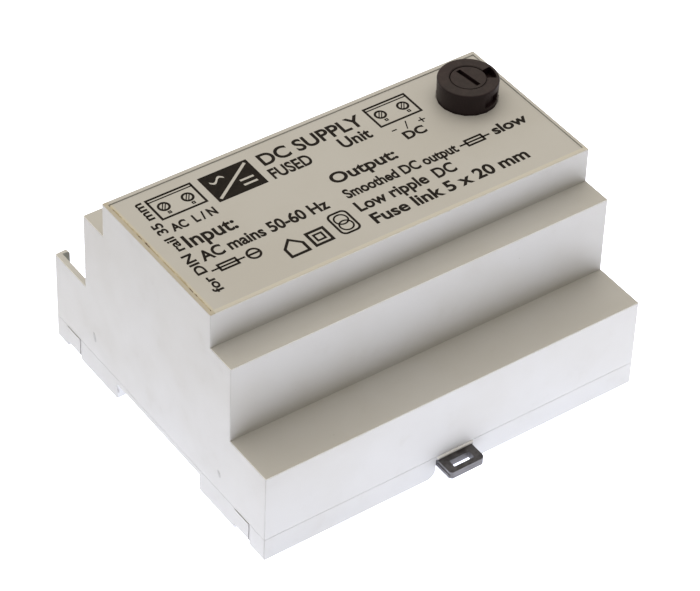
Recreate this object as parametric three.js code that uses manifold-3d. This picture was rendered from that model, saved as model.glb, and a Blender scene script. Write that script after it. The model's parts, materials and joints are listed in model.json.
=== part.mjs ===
// A transformer power supply in a stepped plastic housing for a 35 mm DIN rail.
//
// X runs along the rail, Y across it with the black latch at -Y and the terminals at +Y, and Z points
// away from the rail towards the label. The origin is the centre of the face that seats on the rail.
// Heights in this file count from the feet, and the last line moves the whole assembly to the origin.

import * as THREE from 'three';
import { mergeVertices } from 'three/addons/utils/BufferGeometryUtils.js';
import Module from 'manifold-3d';

const wasm = await Module();
wasm.setup();

// ---------------------------------------------------------------- driving dimensions, in millimetres

const CASE = {
  halfLength: 53.05, // half the length at the feet
  draft: 0.0111, // each end leans in by this much per millimetre of height
  halfWidth: 45,
  shoulderFront: 30.7,
  shoulderRear: 31.15,
  noseHalfWidth: 22.5,
  stepHeight: 25.7,
  shoulderHeight: 47.4,
  height: 57,
  wall: 1.6,
  endWall: 1.5,
  rearWall: 1,
  splitHeight: 6.4, // where the upper housing meets the base tray
  splitGap: 0.2,
};
const RAIL = { recessFront: -18.1, recessRear: 17.7, recessDepth: 4.7 };
const LABEL = { rimX: 0.9, rimY: 1.2, depth: 0.6, thickness: 0.35, gap: 0.35 };
const CATCH = { frontY: -35.95, rearY: 37.1, width: 5.7, top: 6.25, bottom: 0.7, proud: 0.15, gap: 0.2 };
const LATCH = { halfWidth: 4.9, bottom: 3.2, top: 5.35, outerY: -50.3, noseY: -16, channelHalfWidth: 5.3 };
const CORE = { x: -16.5, length: 66, width: 55, stack: 23, bottom: 17.6, holeX: 27.5, holeY: 22 };
const COIL = { overhang: 9.6, chamber: 13.4, cornerRadius: 5 };
const BOARD = {
  bottom: 8,
  top: 9.6,
  left: -49.3,
  right: 49.3,
  rear: 43.4,
  inner: 30.9, // front edge of the strip behind the transformer
  split: 18.6, // left edge of the wide part beside the transformer
  front: -38,
};
const TERMINAL = {
  pitch: 6.35,
  depth: 10.5,
  height: 14.4,
  inputX: -37.6,
  outputX: 22.6,
  y: 36.65,
  pinY: -4.2, // from the block's middle to the pins through the board
  pinHalf: 0.4,
};
const FUSE = {
  x: 40.65,
  y: 9.2,
  ringRadius: 7.5,
  ringBaseRadius: 7.3,
  ringHeight: 6.05,
  barrelRadius: 6.1,
  discRadius: 4.2,
  discDepth: 0.15, // from the ring's top down to the carrier's disc
};

const CLEARANCE = 0.3;
const ROUND = 18; // sides of a round piece
const DEGREE = Math.PI / 180;

const labelFloor = CASE.height - LABEL.depth;
const panelUnderside = labelFloor - CASE.wall;
const coverBottom = CASE.splitHeight + CASE.splitGap / 2;
const trayTop = CASE.splitHeight - CASE.splitGap / 2;

// ---------------------------------------------------------------- materials

function plastic(color, roughness = 0.55) {
  return new THREE.MeshStandardMaterial({ color, roughness, metalness: 0 });
}

function metal(color, roughness = 0.35) {
  return new THREE.MeshStandardMaterial({ color, roughness, metalness: 1 });
}

const MATERIAL = {
  housing: plastic(0xd3d2cf, 0.6),
  label: plastic(0xbcb5a8, 0.5),
  latch: plastic(0x2a2625, 0.5),
  fuseHolder: plastic(0x2b2624, 0.45),
  terminal: plastic(0x4c7a55, 0.5),
  board: plastic(0x9c8a4a, 0.5),
  bobbin: plastic(0x1c1c1e, 0.5),
  tape: plastic(0xd9b23a, 0.4),
  wireRed: plastic(0x9a1f1c, 0.45),
  wireBlue: plastic(0x1f3f8c, 0.45),
  wireBlack: plastic(0x1a1a1a, 0.45),
  capacitor: plastic(0x26354f, 0.35),
  epoxy: plastic(0x1b1b1b, 0.4),
  lamination: metal(0x6f6a66, 0.5),
  copper: metal(0xb06a3c, 0.35),
  steel: metal(0xb9bbbe, 0.3),
  brass: metal(0xb79a58, 0.35),
  glass: plastic(0xe6eef0, 0.05),
};

// ---------------------------------------------------------------- shapes and booleans

function solidOf(geometry) {
  const bare = geometry.index ? geometry.toNonIndexed() : geometry.clone();
  bare.deleteAttribute('normal');
  bare.deleteAttribute('uv');
  const merged = mergeVertices(bare, 1e-4);
  return new wasm.Manifold(new wasm.Mesh({
    numProp: 3,
    vertProperties: new Float32Array(merged.attributes.position.array),
    triVerts: new Uint32Array(merged.index.array),
  }));
}

function geometryOf(solid) {
  const mesh = solid.getMesh();
  const geometry = new THREE.BufferGeometry();
  geometry.setAttribute('position', new THREE.BufferAttribute(new Float32Array(mesh.vertProperties), 3));
  geometry.setIndex(new THREE.BufferAttribute(new Uint32Array(mesh.triVerts), 1));
  geometry.computeVertexNormals();
  return geometry;
}

function join(...geometries) {
  return geometryOf(geometries.map(solidOf).reduce((whole, piece) => whole.add(piece)));
}

function cut(geometry, ...tools) {
  return geometryOf(tools.map(solidOf).reduce((rest, tool) => rest.subtract(tool), solidOf(geometry)));
}

function box(x0, x1, y0, y1, z0, z1) {
  const geometry = new THREE.BoxGeometry(x1 - x0, y1 - y0, z1 - z0);
  return geometry.translate((x0 + x1) / 2, (y0 + y1) / 2, (z0 + z1) / 2);
}

function cylinder(x, y, radius, z0, z1, sides = ROUND) {
  const geometry = new THREE.CylinderGeometry(radius, radius, z1 - z0, sides);
  return geometry.rotateX(Math.PI / 2).translate(x, y, (z0 + z1) / 2);
}

function outline(points) {
  return new THREE.Shape(points.map(([u, v]) => new THREE.Vector2(u, v)));
}

// A shape drawn in X and Y, raised from z0 to z1.
function prismZ(shape, z0, z1, curveSegments = 6) {
  const options = { depth: z1 - z0, bevelEnabled: false, curveSegments };
  return new THREE.ExtrudeGeometry(shape, options).translate(0, 0, z0);
}

// A shape drawn in Y and Z, run from x0 to x1.
function prismX(shape, x0, x1, curveSegments = 6) {
  const options = { depth: x1 - x0, bevelEnabled: false, curveSegments };
  const geometry = new THREE.ExtrudeGeometry(shape, options);
  return geometry.rotateX(Math.PI / 2).rotateZ(Math.PI / 2).translate(x0, 0, 0);
}

// A shape drawn in X and Z, run from y0 to y1.
function prismY(shape, y0, y1, curveSegments = 6) {
  const options = { depth: y1 - y0, bevelEnabled: false, curveSegments };
  const geometry = new THREE.ExtrudeGeometry(shape, options);
  return geometry.rotateX(Math.PI / 2).translate(0, y1, 0);
}

function turned(points, sides = ROUND) {
  const profile = points.map(([radius, z]) => new THREE.Vector2(radius, z));
  return new THREE.LatheGeometry(profile, sides).rotateX(Math.PI / 2);
}

function roundedRectangle(halfU, halfV, radius) {
  const shape = new THREE.Shape();
  shape.absarc(halfU - radius, halfV - radius, radius, 0, Math.PI / 2);
  shape.absarc(radius - halfU, halfV - radius, radius, Math.PI / 2, Math.PI);
  shape.absarc(radius - halfU, radius - halfV, radius, Math.PI, 1.5 * Math.PI);
  shape.absarc(halfU - radius, radius - halfV, radius, 1.5 * Math.PI, 2 * Math.PI);
  return shape;
}

// The moulded housing pieces lean in at both ends, so their lengths shrink with height.
function withDraft(geometry) {
  const position = geometry.attributes.position;
  for (let i = 0; i < position.count; i += 1) {
    const shrink = 1 - (CASE.draft * position.getZ(i)) / CASE.halfLength;
    position.setX(i, position.getX(i) * shrink);
  }
  return geometry;
}

function part(name, material, geometry) {
  const mesh = new THREE.Mesh(geometry, material);
  mesh.name = name;
  return mesh;
}

// ---------------------------------------------------------------- upper housing

function steppedOutline(inset, topInset, bottom) {
  const { halfWidth, noseHalfWidth, stepHeight, shoulderHeight, height } = CASE;
  const shoulderFront = -CASE.shoulderFront + inset;
  const shoulderRear = CASE.shoulderRear - inset;
  return outline([
    [-halfWidth + inset, bottom],
    [-halfWidth + inset, stepHeight - inset],
    [shoulderFront, stepHeight - inset],
    [shoulderFront, shoulderHeight - inset],
    [-noseHalfWidth + inset, shoulderHeight - inset],
    [-noseHalfWidth + inset, height - topInset],
    [noseHalfWidth - inset, height - topInset],
    [noseHalfWidth - inset, shoulderHeight - inset],
    [shoulderRear, shoulderHeight - inset],
    [shoulderRear, stepHeight - inset],
    [halfWidth - inset, stepHeight - inset],
    [halfWidth - inset, bottom],
  ]);
}

// The cavity ends at the wall behind the shoulder, so the rear step stays apart for the terminals.
function mainCavity() {
  const inner = CASE.halfLength - CASE.endWall;
  const cavity = prismX(steppedOutline(CASE.wall, LABEL.depth + CASE.wall, -1), -inner, inner);
  const behindShoulder = CASE.shoulderRear - CASE.wall;
  return cut(cavity, box(-inner - 1, inner + 1, behindShoulder, CASE.halfWidth, -2, CASE.height));
}

// An open-topped bay holds the terminals. The board runs into it under the wall behind the shoulder.
function terminalBay() {
  const inner = CASE.halfLength - CASE.endWall;
  const bayRear = CASE.halfWidth - CASE.rearWall;
  const boardSlotTop = BOARD.top + 2.4;
  const slotFront = CASE.shoulderRear - CASE.wall - 1;
  return join(
    box(-inner, inner, CASE.shoulderRear, bayRear, -1, CASE.height),
    box(-inner, inner, slotFront, CASE.shoulderRear + 1, -1, boardSlotTop),
  );
}

// The rear wall is cut down between its corner posts, for wires to come in.
function wireEntry() {
  const halfWidth = CASE.halfLength - 3.5;
  const sill = 12;
  const top = CASE.stepHeight + 1;
  const radius = 0.8;
  const shape = new THREE.Shape();
  shape.moveTo(-halfWidth, sill);
  shape.lineTo(halfWidth, sill);
  shape.lineTo(halfWidth, CASE.stepHeight - radius);
  shape.absarc(halfWidth + radius, CASE.stepHeight - radius, radius, Math.PI, Math.PI / 2, true);
  shape.lineTo(halfWidth + radius, top);
  shape.lineTo(-halfWidth - radius, top);
  shape.absarc(-halfWidth - radius, CASE.stepHeight - radius, radius, Math.PI / 2, 0, true);
  return prismY(shape, CASE.halfWidth - CASE.rearWall - 0.4, CASE.halfWidth + 1);
}

function labelRecess() {
  const halfX = CASE.halfLength - LABEL.rimX;
  const halfY = CASE.noseHalfWidth - LABEL.rimY;
  return box(-halfX, halfX, -halfY, halfY, labelFloor, CASE.height + 1);
}

// Four legs reach down inside the end walls, and the catch on each fills a notch in the base tray.
function snapLeg(side, y) {
  const half = CATCH.width / 2;
  const inner = CASE.halfLength - CASE.endWall;
  const legFront = inner - 1.5;
  const legBack = inner - CLEARANCE;
  const proud = CASE.halfLength + CATCH.proud;
  const rootBottom = coverBottom + 0.6;
  const leg = prismY(outline([
    [legFront, rootBottom + 7],
    [legFront, CATCH.bottom + 0.6],
    [legFront + 0.6, CATCH.bottom],
    [proud - 0.5, CATCH.bottom],
    [proud, CATCH.bottom + 0.9],
    [proud, CATCH.top],
    [legBack, CATCH.top],
    [legBack, rootBottom],
    [inner + 0.5, rootBottom],
    [inner + 0.5, rootBottom + 5],
  ]), y - half, y + half);
  return side > 0 ? leg : leg.rotateZ(Math.PI).translate(0, 2 * y, 0);
}

function upperHousing() {
  const body = prismX(steppedOutline(0, 0, coverBottom), -CASE.halfLength, CASE.halfLength);
  const shell = cut(body, mainCavity(), terminalBay(), wireEntry(), labelRecess());
  const legs = [CATCH.frontY, CATCH.rearY].flatMap((y) => [snapLeg(1, y), snapLeg(-1, y)]);
  const holeRadius = FUSE.barrelRadius + CLEARANCE;
  const hole = cylinder(FUSE.x, FUSE.y, holeRadius, panelUnderside - 1, CASE.height + 1);
  return part('upper_housing', MATERIAL.housing, cut(withDraft(join(shell, ...legs)), hole));
}

function labelPlate() {
  const halfX = CASE.halfLength - CASE.draft * CASE.height - LABEL.rimX - LABEL.gap;
  const halfY = CASE.noseHalfWidth - LABEL.rimY - LABEL.gap;
  const film = box(-halfX, halfX, -halfY, halfY, labelFloor, labelFloor + LABEL.thickness);
  const holeRadius = FUSE.ringBaseRadius + CLEARANCE;
  const hole = cylinder(FUSE.x, FUSE.y, holeRadius, labelFloor - 1, CASE.height + 1);
  return part('label_plate', MATERIAL.label, cut(film, hole));
}

// ---------------------------------------------------------------- base tray

function trayOutline() {
  return outline([
    [-CASE.halfWidth, 0],
    [RAIL.recessFront, 0],
    [RAIL.recessFront, RAIL.recessDepth],
    [RAIL.recessRear, RAIL.recessDepth],
    [RAIL.recessRear, 0],
    [CASE.halfWidth, 0],
    [CASE.halfWidth, trayTop],
    [-CASE.halfWidth, trayTop],
  ]);
}

const channelWall = 1.4;
const channelTop = LATCH.top + 0.15;
const armPocket = { halfWidth: 8.7, front: -42.2, rear: -22 };

function footHollows() {
  const inner = CASE.halfLength - CASE.endWall;
  const { wall, halfWidth } = CASE;
  const channel = LATCH.channelHalfWidth + channelWall;
  const pocket = armPocket.halfWidth + channelWall;
  const front = cut(
    box(-inner, inner, -halfWidth + wall, RAIL.recessFront - wall, wall, trayTop + 1),
    box(-channel, channel, -halfWidth, RAIL.recessFront, 0, trayTop + 2),
    box(-pocket, pocket, armPocket.front - channelWall, armPocket.rear + channelWall, 0, trayTop + 2),
  );
  const rear = box(-inner, inner, RAIL.recessRear + wall, halfWidth - wall, wall, trayTop + 1);
  return [front, rear];
}

// The latch slides in a channel under the front foot, with a wider pocket for its sprung arms.
function latchChannel() {
  const half = LATCH.channelHalfWidth;
  return [
    box(-half, half, -CASE.halfWidth - 1, RAIL.recessFront + 1, -1, channelTop),
    box(-armPocket.halfWidth, armPocket.halfWidth, armPocket.front, armPocket.rear, -1, channelTop),
  ];
}

// The front wall's lower edge curves up into the channel's mouth.
function mouthCorner(side) {
  const radius = 2.4;
  const half = LATCH.channelHalfWidth;
  const shape = new THREE.Shape();
  shape.moveTo(half - 1, -1);
  shape.lineTo(half + radius, -1);
  shape.lineTo(half + radius, 0);
  shape.absarc(half + radius, radius, radius, 1.5 * Math.PI, Math.PI, true);
  shape.lineTo(half - 1, radius);
  const corner = prismY(shape, -CASE.halfWidth - 1, -CASE.halfWidth + 1.7);
  if (side > 0) {
    return corner;
  }
  return corner.rotateZ(Math.PI).translate(0, -2 * CASE.halfWidth + 0.7, 0);
}

// A small lip runs along the thin bridge over the channel's mouth.
function mouthLip() {
  const half = LATCH.channelHalfWidth - 0.2;
  const front = -CASE.halfWidth - 0.35;
  return prismX(outline([
    [front, channelTop + 0.15],
    [1 - CASE.halfWidth, channelTop + 0.15],
    [1 - CASE.halfWidth, trayTop],
    [-CASE.halfWidth, trayTop],
    [front, trayTop - 0.25],
  ]), -half, half);
}

// Two ledges under the latch keep it in its channel.
function latchLedge(side) {
  const half = LATCH.channelHalfWidth;
  const top = LATCH.bottom - CLEARANCE;
  const inner = half - 1.3;
  const x0 = side > 0 ? inner : -half - 0.5;
  const x1 = side > 0 ? half + 0.5 : -inner;
  return box(x0, x1, -CASE.halfWidth + 2, armPocket.front, top - 1.1, top);
}

function catchNotch(side, y) {
  const half = CATCH.width / 2 + CATCH.gap;
  const x0 = CASE.halfLength - CASE.endWall - 1.9;
  const x1 = CASE.halfLength + 1;
  return box(side > 0 ? x0 : -x1, side > 0 ? x1 : -x0, y - half, y + half, -1, trayTop + 1);
}

// A fixed hook grips the far lip of the rail, clear of the lip's 1 mm thickness.
function railHook(x) {
  const hookDepth = 1.9;
  const lip = RAIL.recessDepth - 1.3;
  return prismX(outline([
    [RAIL.recessRear + 0.8, 0.8],
    [RAIL.recessRear - 0.5, 0.8],
    [RAIL.recessRear - hookDepth, 2.2],
    [RAIL.recessRear - hookDepth, lip],
    [RAIL.recessRear + 0.8, lip],
  ]), x - 5, x + 5);
}

const coreBolts = [[-1, -1], [1, -1], [-1, 1], [1, 1]].map(([sx, sy]) => (
  { x: CORE.x + sx * CORE.holeX, y: sy * CORE.holeY }
));
const boardScrews = [
  { x: -14, y: 37.4 },
  { x: 42, y: 37.4 },
  { x: 34, y: -32.5 },
];

function baseTray() {
  const boltRadius = 2;
  const screwRadius = 1.3;
  const floor = CASE.wall;
  const boltHole = boltRadius + CLEARANCE;
  const screwHole = screwRadius + CLEARANCE;
  const shell = cut(prismX(trayOutline(), -CASE.halfLength, CASE.halfLength), ...footHollows());
  const upright = (radius, z0, z1) => ({ x, y }) => cylinder(x, y, radius, z0, z1);
  const bosses = coreBolts.map(upright(boltRadius + 1.8, floor - 0.5, CORE.bottom));
  const posts = boardScrews.map(upright(screwRadius + 1.6, floor - 0.5, BOARD.bottom));
  const hooks = [-32, 32].map(railHook);
  const catchYs = [CATCH.frontY, CATCH.rearY];
  const tray = cut(
    join(withDraft(shell), ...bosses, ...posts, ...hooks),
    ...latchChannel(),
    ...[-1, 1].map(mouthCorner),
    ...catchYs.flatMap((y) => [catchNotch(1, y), catchNotch(-1, y)]),
    ...coreBolts.map(upright(boltHole, floor + 4, CORE.bottom + 1)),
    ...boardScrews.map(upright(screwHole, floor + 0.6, BOARD.bottom + 1)),
  );
  return part('base_tray', MATERIAL.housing, join(tray, mouthLip(), latchLedge(-1), latchLedge(1)));
}

// ---------------------------------------------------------------- rail latch

const tabSlot = { left: -2.8, right: 2.9, front: -48.8, rear: -46.7 };

function latchTab() {
  const half = LATCH.halfWidth;
  const corner = 0.6;
  const end = RAIL.recessFront - 0.6;
  const shape = outline([
    [-half, end],
    [-half, LATCH.outerY + corner],
    [-half + corner, LATCH.outerY],
    [half - corner, LATCH.outerY],
    [half, LATCH.outerY + corner],
    [half, end],
  ]);
  const slot = new THREE.Path();
  slot.moveTo(tabSlot.left, tabSlot.front);
  slot.lineTo(tabSlot.left, tabSlot.rear);
  slot.lineTo(tabSlot.right, tabSlot.rear);
  slot.lineTo(tabSlot.right, tabSlot.front);
  shape.holes.push(slot);
  return prismZ(shape, LATCH.bottom, LATCH.top);
}

// The nose reaches under the rail's near lip, and its sloped underside rides over the lip.
function latchNose() {
  const lip = RAIL.recessDepth - 1.3;
  return prismX(outline([
    [-24, 1.6],
    [-19, 1],
    [LATCH.noseY - 1.4, 1],
    [LATCH.noseY, 2.4],
    [LATCH.noseY, lip],
    [RAIL.recessFront - 0.8, lip],
    [RAIL.recessFront - 0.8, LATCH.bottom + 0.5],
    [-24, LATCH.bottom + 0.5],
  ]), -LATCH.halfWidth, LATCH.halfWidth);
}

function latchArm(side) {
  const arm = outline([
    [LATCH.halfWidth - 0.5, -23],
    [LATCH.halfWidth + 1.2, -23.4],
    [armPocket.halfWidth - 0.6, -36.8],
    [armPocket.halfWidth - 1.5, -37.2],
    [LATCH.halfWidth + 0.2, -25],
    [LATCH.halfWidth - 0.5, -25],
  ].map(([x, y]) => [side * x, y]));
  return prismZ(arm, LATCH.bottom, LATCH.top - 0.1);
}

// A groove runs along both sides of the finger tab.
function latchGroove() {
  const depth = 0.25;
  const bottom = LATCH.bottom + 1;
  const top = bottom + 0.4;
  const inner = LATCH.halfWidth - depth;
  const outer = LATCH.halfWidth + 1;
  return [
    box(-outer, -inner, LATCH.outerY - 1, -CASE.halfWidth, bottom, top),
    box(inner, outer, LATCH.outerY - 1, -CASE.halfWidth, bottom, top),
  ];
}

function railLatch() {
  const latch = cut(join(latchTab(), latchNose(), latchArm(-1), latchArm(1)), ...latchGroove());
  return part('rail_latch', MATERIAL.latch, latch);
}

// ---------------------------------------------------------------- transformer

// The core lies flat with its centre leg along Y. Heights here count from the middle of the stack.
const coreUnit = CORE.length / 6;
const windowHalf = 1.5 * coreUnit;
const coilHalfHeight = CORE.stack / 2 + COIL.overhang;
const tubeHalfX = coreUnit + 0.4;
const tubeHalfZ = CORE.stack / 2 + 0.4;
const tubeWall = 1;
const windingHalfX = 2 * coreUnit - 1.3;

function coreHoles(y) {
  return [-CORE.holeX, CORE.holeX].map((x) => cylinder(x, y, 2.3, -CORE.stack, CORE.stack));
}

function coreE() {
  const half = CORE.stack / 2;
  const yokeFront = -CORE.width / 2;
  const legEnd = windowHalf - 0.05;
  const plate = box(-3 * coreUnit, 3 * coreUnit, yokeFront, legEnd, -half, half);
  const windows = [-1, 1].map((side) => {
    const near = side > 0 ? coreUnit : -2 * coreUnit;
    return box(near, near + coreUnit, -windowHalf, windowHalf + 1, -half - 1, half + 1);
  });
  return part('core_e_stack', MATERIAL.lamination, cut(plate, ...windows, ...coreHoles(-CORE.holeY)));
}

function coreI() {
  const half = CORE.stack / 2;
  const bar = box(-3 * coreUnit, 3 * coreUnit, windowHalf + 0.05, CORE.width / 2, -half, half);
  return part('core_i_stack', MATERIAL.lamination, cut(bar, ...coreHoles(CORE.holeY)));
}

// Two chambers keep the mains winding apart from the low-voltage one.
function bobbin() {
  const flangeX = 2 * coreUnit - 0.4;
  const flangeZ = coilHalfHeight + 0.5;
  const end = windowHalf - 0.4;
  const flange = 1.1;
  const outerX = tubeHalfX + tubeWall;
  const outerZ = tubeHalfZ + tubeWall;
  const tube = box(-outerX, outerX, -end, end, -outerZ, outerZ);
  const plates = [-end, -flange / 2, end - flange].map((y) => (
    box(-flangeX, flangeX, y, y + flange, -flangeZ, flangeZ)
  ));
  const bore = box(-tubeHalfX, tubeHalfX, -end - 1, end + 1, -tubeHalfZ, tubeHalfZ);
  const leadSlots = [-8, 8].map((x) => (
    box(x - 1.6, x + 1.6, -end - 1, end + 1, -flangeZ - 1, -flangeZ + 6)
  ));
  return part('bobbin', MATERIAL.bobbin, cut(join(tube, ...plates), bore, ...leadSlots));
}

function coilRing(outerX, outerZ, innerX, innerZ, y0, y1) {
  const shape = roundedRectangle(outerX, outerZ, COIL.cornerRadius);
  shape.holes.push(roundedRectangle(innerX, innerZ, 0.2));
  return prismY(shape, y0, y1, 3);
}

function winding(name, side) {
  const tapeRoom = 0.8;
  const y = side * (COIL.chamber / 2 + 0.9);
  const half = COIL.chamber / 2;
  const innerX = tubeHalfX + tubeWall + 0.2;
  const innerZ = tubeHalfZ + tubeWall + 0.2;
  const outerX = windingHalfX - tapeRoom;
  const outerZ = coilHalfHeight - tapeRoom;
  return part(name, MATERIAL.copper, coilRing(outerX, outerZ, innerX, innerZ, y - half, y + half));
}

function windingTape(name, side) {
  const tapeInset = 0.6;
  const y = side * (COIL.chamber / 2 + 0.9);
  const half = COIL.chamber / 2;
  const innerX = windingHalfX - tapeInset;
  const innerZ = coilHalfHeight - tapeInset;
  const shape = roundedRectangle(windingHalfX, coilHalfHeight, COIL.cornerRadius);
  shape.holes.push(roundedRectangle(innerX, innerZ, COIL.cornerRadius - 0.4));
  return part(name, MATERIAL.tape, prismY(shape, y - half, y + half, 3));
}

// The thermal cut-out lies on the mains winding, in series with it.
const cutout = { x: -4, y: COIL.chamber / 2 + 0.9, radius: 1.7, length: 11, wire: 0.4 };
const cutoutHeight = coilHalfHeight + cutout.radius + 0.4;

function thermalCutout() {
  const half = cutout.length / 2;
  const tail = half + 2.5;
  const body = turned([
    [0, -tail],
    [cutout.wire, -tail],
    [cutout.wire, -half],
    [cutout.radius, -half + 0.6],
    [cutout.radius, half - 0.6],
    [cutout.wire, half],
    [cutout.wire, tail],
    [0, tail],
  ], 16);
  body.rotateY(Math.PI / 2).translate(cutout.x, cutout.y, cutoutHeight);
  return part('thermal_cutout', MATERIAL.steel, body);
}

// A cheese-head bolt, its head resting on z = 0.
function boltGeometry(headRadius, headHeight, shankRadius, length, slotWidth) {
  const bolt = turned([
    [0, -length],
    [shankRadius - 0.3, -length],
    [shankRadius, -length + 0.4],
    [shankRadius, 0],
    [headRadius, 0],
    [headRadius, headHeight - 0.3],
    [headRadius - 0.3, headHeight],
    [0, headHeight],
  ], 16);
  const slotHalfLength = headRadius + 1;
  const slotHalfWidth = slotWidth / 2;
  const slotBottom = headHeight * 0.55;
  const slotTop = headHeight + 1;
  const slot = box(-slotHalfLength, slotHalfLength, -slotHalfWidth, slotHalfWidth, slotBottom, slotTop);
  return cut(bolt, slot);
}

function coreBolt(index, { x, y }) {
  const geometry = boltGeometry(3.6, 2.6, 1.95, CORE.stack + 10, 1);
  const bolt = part(`core_bolt_${index + 1}`, MATERIAL.steel, geometry);
  bolt.position.set(x - CORE.x, y, CORE.stack / 2);
  return bolt;
}

function transformer() {
  const group = new THREE.Group();
  group.position.set(CORE.x, 0, CORE.bottom + CORE.stack / 2);
  group.add(coreE(), coreI(), bobbin());
  group.add(winding('primary_winding', 1), winding('secondary_winding', -1));
  group.add(windingTape('primary_tape', 1), windingTape('secondary_tape', -1));
  group.add(thermalCutout());
  coreBolts.forEach((place, index) => group.add(coreBolt(index, place)));
  return group;
}

// ---------------------------------------------------------------- circuit board and its components

const capacitor = { radius: 8, height: 31.5, y: -18, xs: [25.2, 41.7], lead: 0.4, leadPitch: 7.5 };
const rectifier = { x: 34, y: 24.4, width: 21, depth: 3.4, height: 17, pitch: 5.08, lead: 0.5 };
const contactPinY = TERMINAL.y + TERMINAL.pinY;
const pinStub = 1.4; // how far pins come out below the board

function poleXs(blockX) {
  return [blockX - TERMINAL.pitch / 2, blockX + TERMINAL.pitch / 2];
}

function componentHoles() {
  const holes = [];
  for (const x of capacitor.xs) {
    holes.push([x - capacitor.leadPitch / 2, capacitor.y], [x + capacitor.leadPitch / 2, capacitor.y]);
  }
  for (const step of [-1.5, -0.5, 0.5, 1.5]) {
    holes.push([rectifier.x + step * rectifier.pitch, rectifier.y]);
  }
  for (const x of [...poleXs(TERMINAL.inputX), ...poleXs(TERMINAL.outputX)]) {
    holes.push([x, contactPinY]);
  }
  return holes;
}

function circuitBoard() {
  const shape = outline([
    [BOARD.left, BOARD.inner],
    [BOARD.split, BOARD.inner],
    [BOARD.split, BOARD.front],
    [BOARD.right, BOARD.front],
    [BOARD.right, BOARD.rear],
    [BOARD.left, BOARD.rear],
  ]);
  const drill = (x, y, radius) => {
    const hole = new THREE.Path();
    hole.absarc(x, y, radius, 0, 2 * Math.PI);
    shape.holes.push(hole);
  };
  componentHoles().forEach(([x, y]) => drill(x, y, 0.95));
  boardScrews.forEach(({ x, y }) => drill(x, y, 1.65));
  return part('circuit_board', MATERIAL.board, prismZ(shape, BOARD.bottom, BOARD.top, 5));
}

function boardScrew(index, { x, y }) {
  const screw = part(`board_screw_${index + 1}`, MATERIAL.steel, boltGeometry(2.6, 1.7, 1.3, 6.4, 0.7));
  screw.position.set(x, y, BOARD.top);
  return screw;
}

function smoothingCapacitor(index) {
  const { radius, height, lead, leadPitch } = capacitor;
  const seal = BOARD.top + 0.2;
  const can = turned([
    [0, seal],
    [radius - 0.6, seal],
    [radius, seal + 0.8],
    [radius, seal + 2.6],
    [radius - 0.5, seal + 3.2],
    [radius, seal + 3.8],
    [radius, seal + height - 0.6],
    [radius - 0.6, seal + height],
    [0, seal + height],
  ], 32);
  const leads = [-leadPitch / 2, leadPitch / 2].map((x) => (
    cylinder(x, 0, lead, BOARD.bottom - pinStub, seal + 1, 8)
  ));
  const body = part(`smoothing_capacitor_${index + 1}`, MATERIAL.capacitor, join(can, ...leads));
  body.position.set(capacitor.xs[index], capacitor.y, 0);
  return body;
}

function bridgeRectifier() {
  const { width, depth, height, pitch, lead } = rectifier;
  const bottom = BOARD.top + 2.5;
  const chamfer = 3;
  const shape = outline([
    [-width / 2, bottom],
    [width / 2, bottom],
    [width / 2, bottom + height],
    [-width / 2 + chamfer, bottom + height],
    [-width / 2, bottom + height - chamfer],
  ]);
  const block = prismY(shape, -depth / 2, depth / 2);
  const bore = cylinder(0, 0, 1.6, -depth, depth, 20).rotateX(Math.PI / 2);
  bore.translate(0, 0, bottom + height - 4.5);
  const leads = [-1.5, -0.5, 0.5, 1.5].map((step) => (
    box(step * pitch - lead, step * pitch + lead, -0.35, 0.35, BOARD.bottom - pinStub, bottom + 1)
  ));
  const body = part('bridge_rectifier', MATERIAL.epoxy, join(cut(block, bore), ...leads));
  body.position.set(rectifier.x, rectifier.y, 0);
  return body;
}

// ---------------------------------------------------------------- screw terminals with rising cages

// Heights in one pole, counted from the board's top face.
const POLE = {
  cavityFront: -3.3,
  cavityBottom: 1,
  cavityTop: 10.2,
  cavityHalfWidth: 2.45,
  cageHalfWidth: 2.1,
  cageBottom: 1.3,
  cageHeight: 5.9,
  cageWall: 0.8,
  barBottom: 5.3,
  barThickness: 0.8,
  screwSeat: 11.2,
  headRadius: 2,
  headHeight: 1.9,
  shankRadius: 1.3,
};

function poleCavities(x) {
  const { cavityFront, cavityHalfWidth, cavityBottom, cavityTop } = POLE;
  const rear = TERMINAL.depth / 2 + 1;
  const pinFront = TERMINAL.pinY - TERMINAL.pinHalf - CLEARANCE;
  return [
    box(x - cavityHalfWidth, x + cavityHalfWidth, cavityFront, rear, cavityBottom, cavityTop),
    box(x - 0.8, x + 0.8, pinFront, cavityFront + 0.4, -1, POLE.barBottom + 1.2),
    cylinder(x, 0, POLE.shankRadius + 0.35, POLE.cavityTop - 1, POLE.screwSeat + 1, 20),
    cylinder(x, 0, POLE.headRadius + CLEARANCE, POLE.screwSeat, TERMINAL.height + 1, 24),
  ];
}

function terminalBody(name) {
  const halfWidth = TERMINAL.pitch;
  const halfDepth = TERMINAL.depth / 2;
  const chamfer = 1.2;
  const profile = outline([
    [-halfDepth, 0],
    [halfDepth, 0],
    [halfDepth, TERMINAL.height - chamfer],
    [halfDepth - chamfer, TERMINAL.height],
    [-halfDepth + 0.5, TERMINAL.height],
    [-halfDepth, TERMINAL.height - 0.5],
  ]);
  const block = prismX(profile, -halfWidth, halfWidth);
  return part(name, MATERIAL.terminal, cut(block, ...poleXs(0).flatMap(poleCavities)));
}

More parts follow.
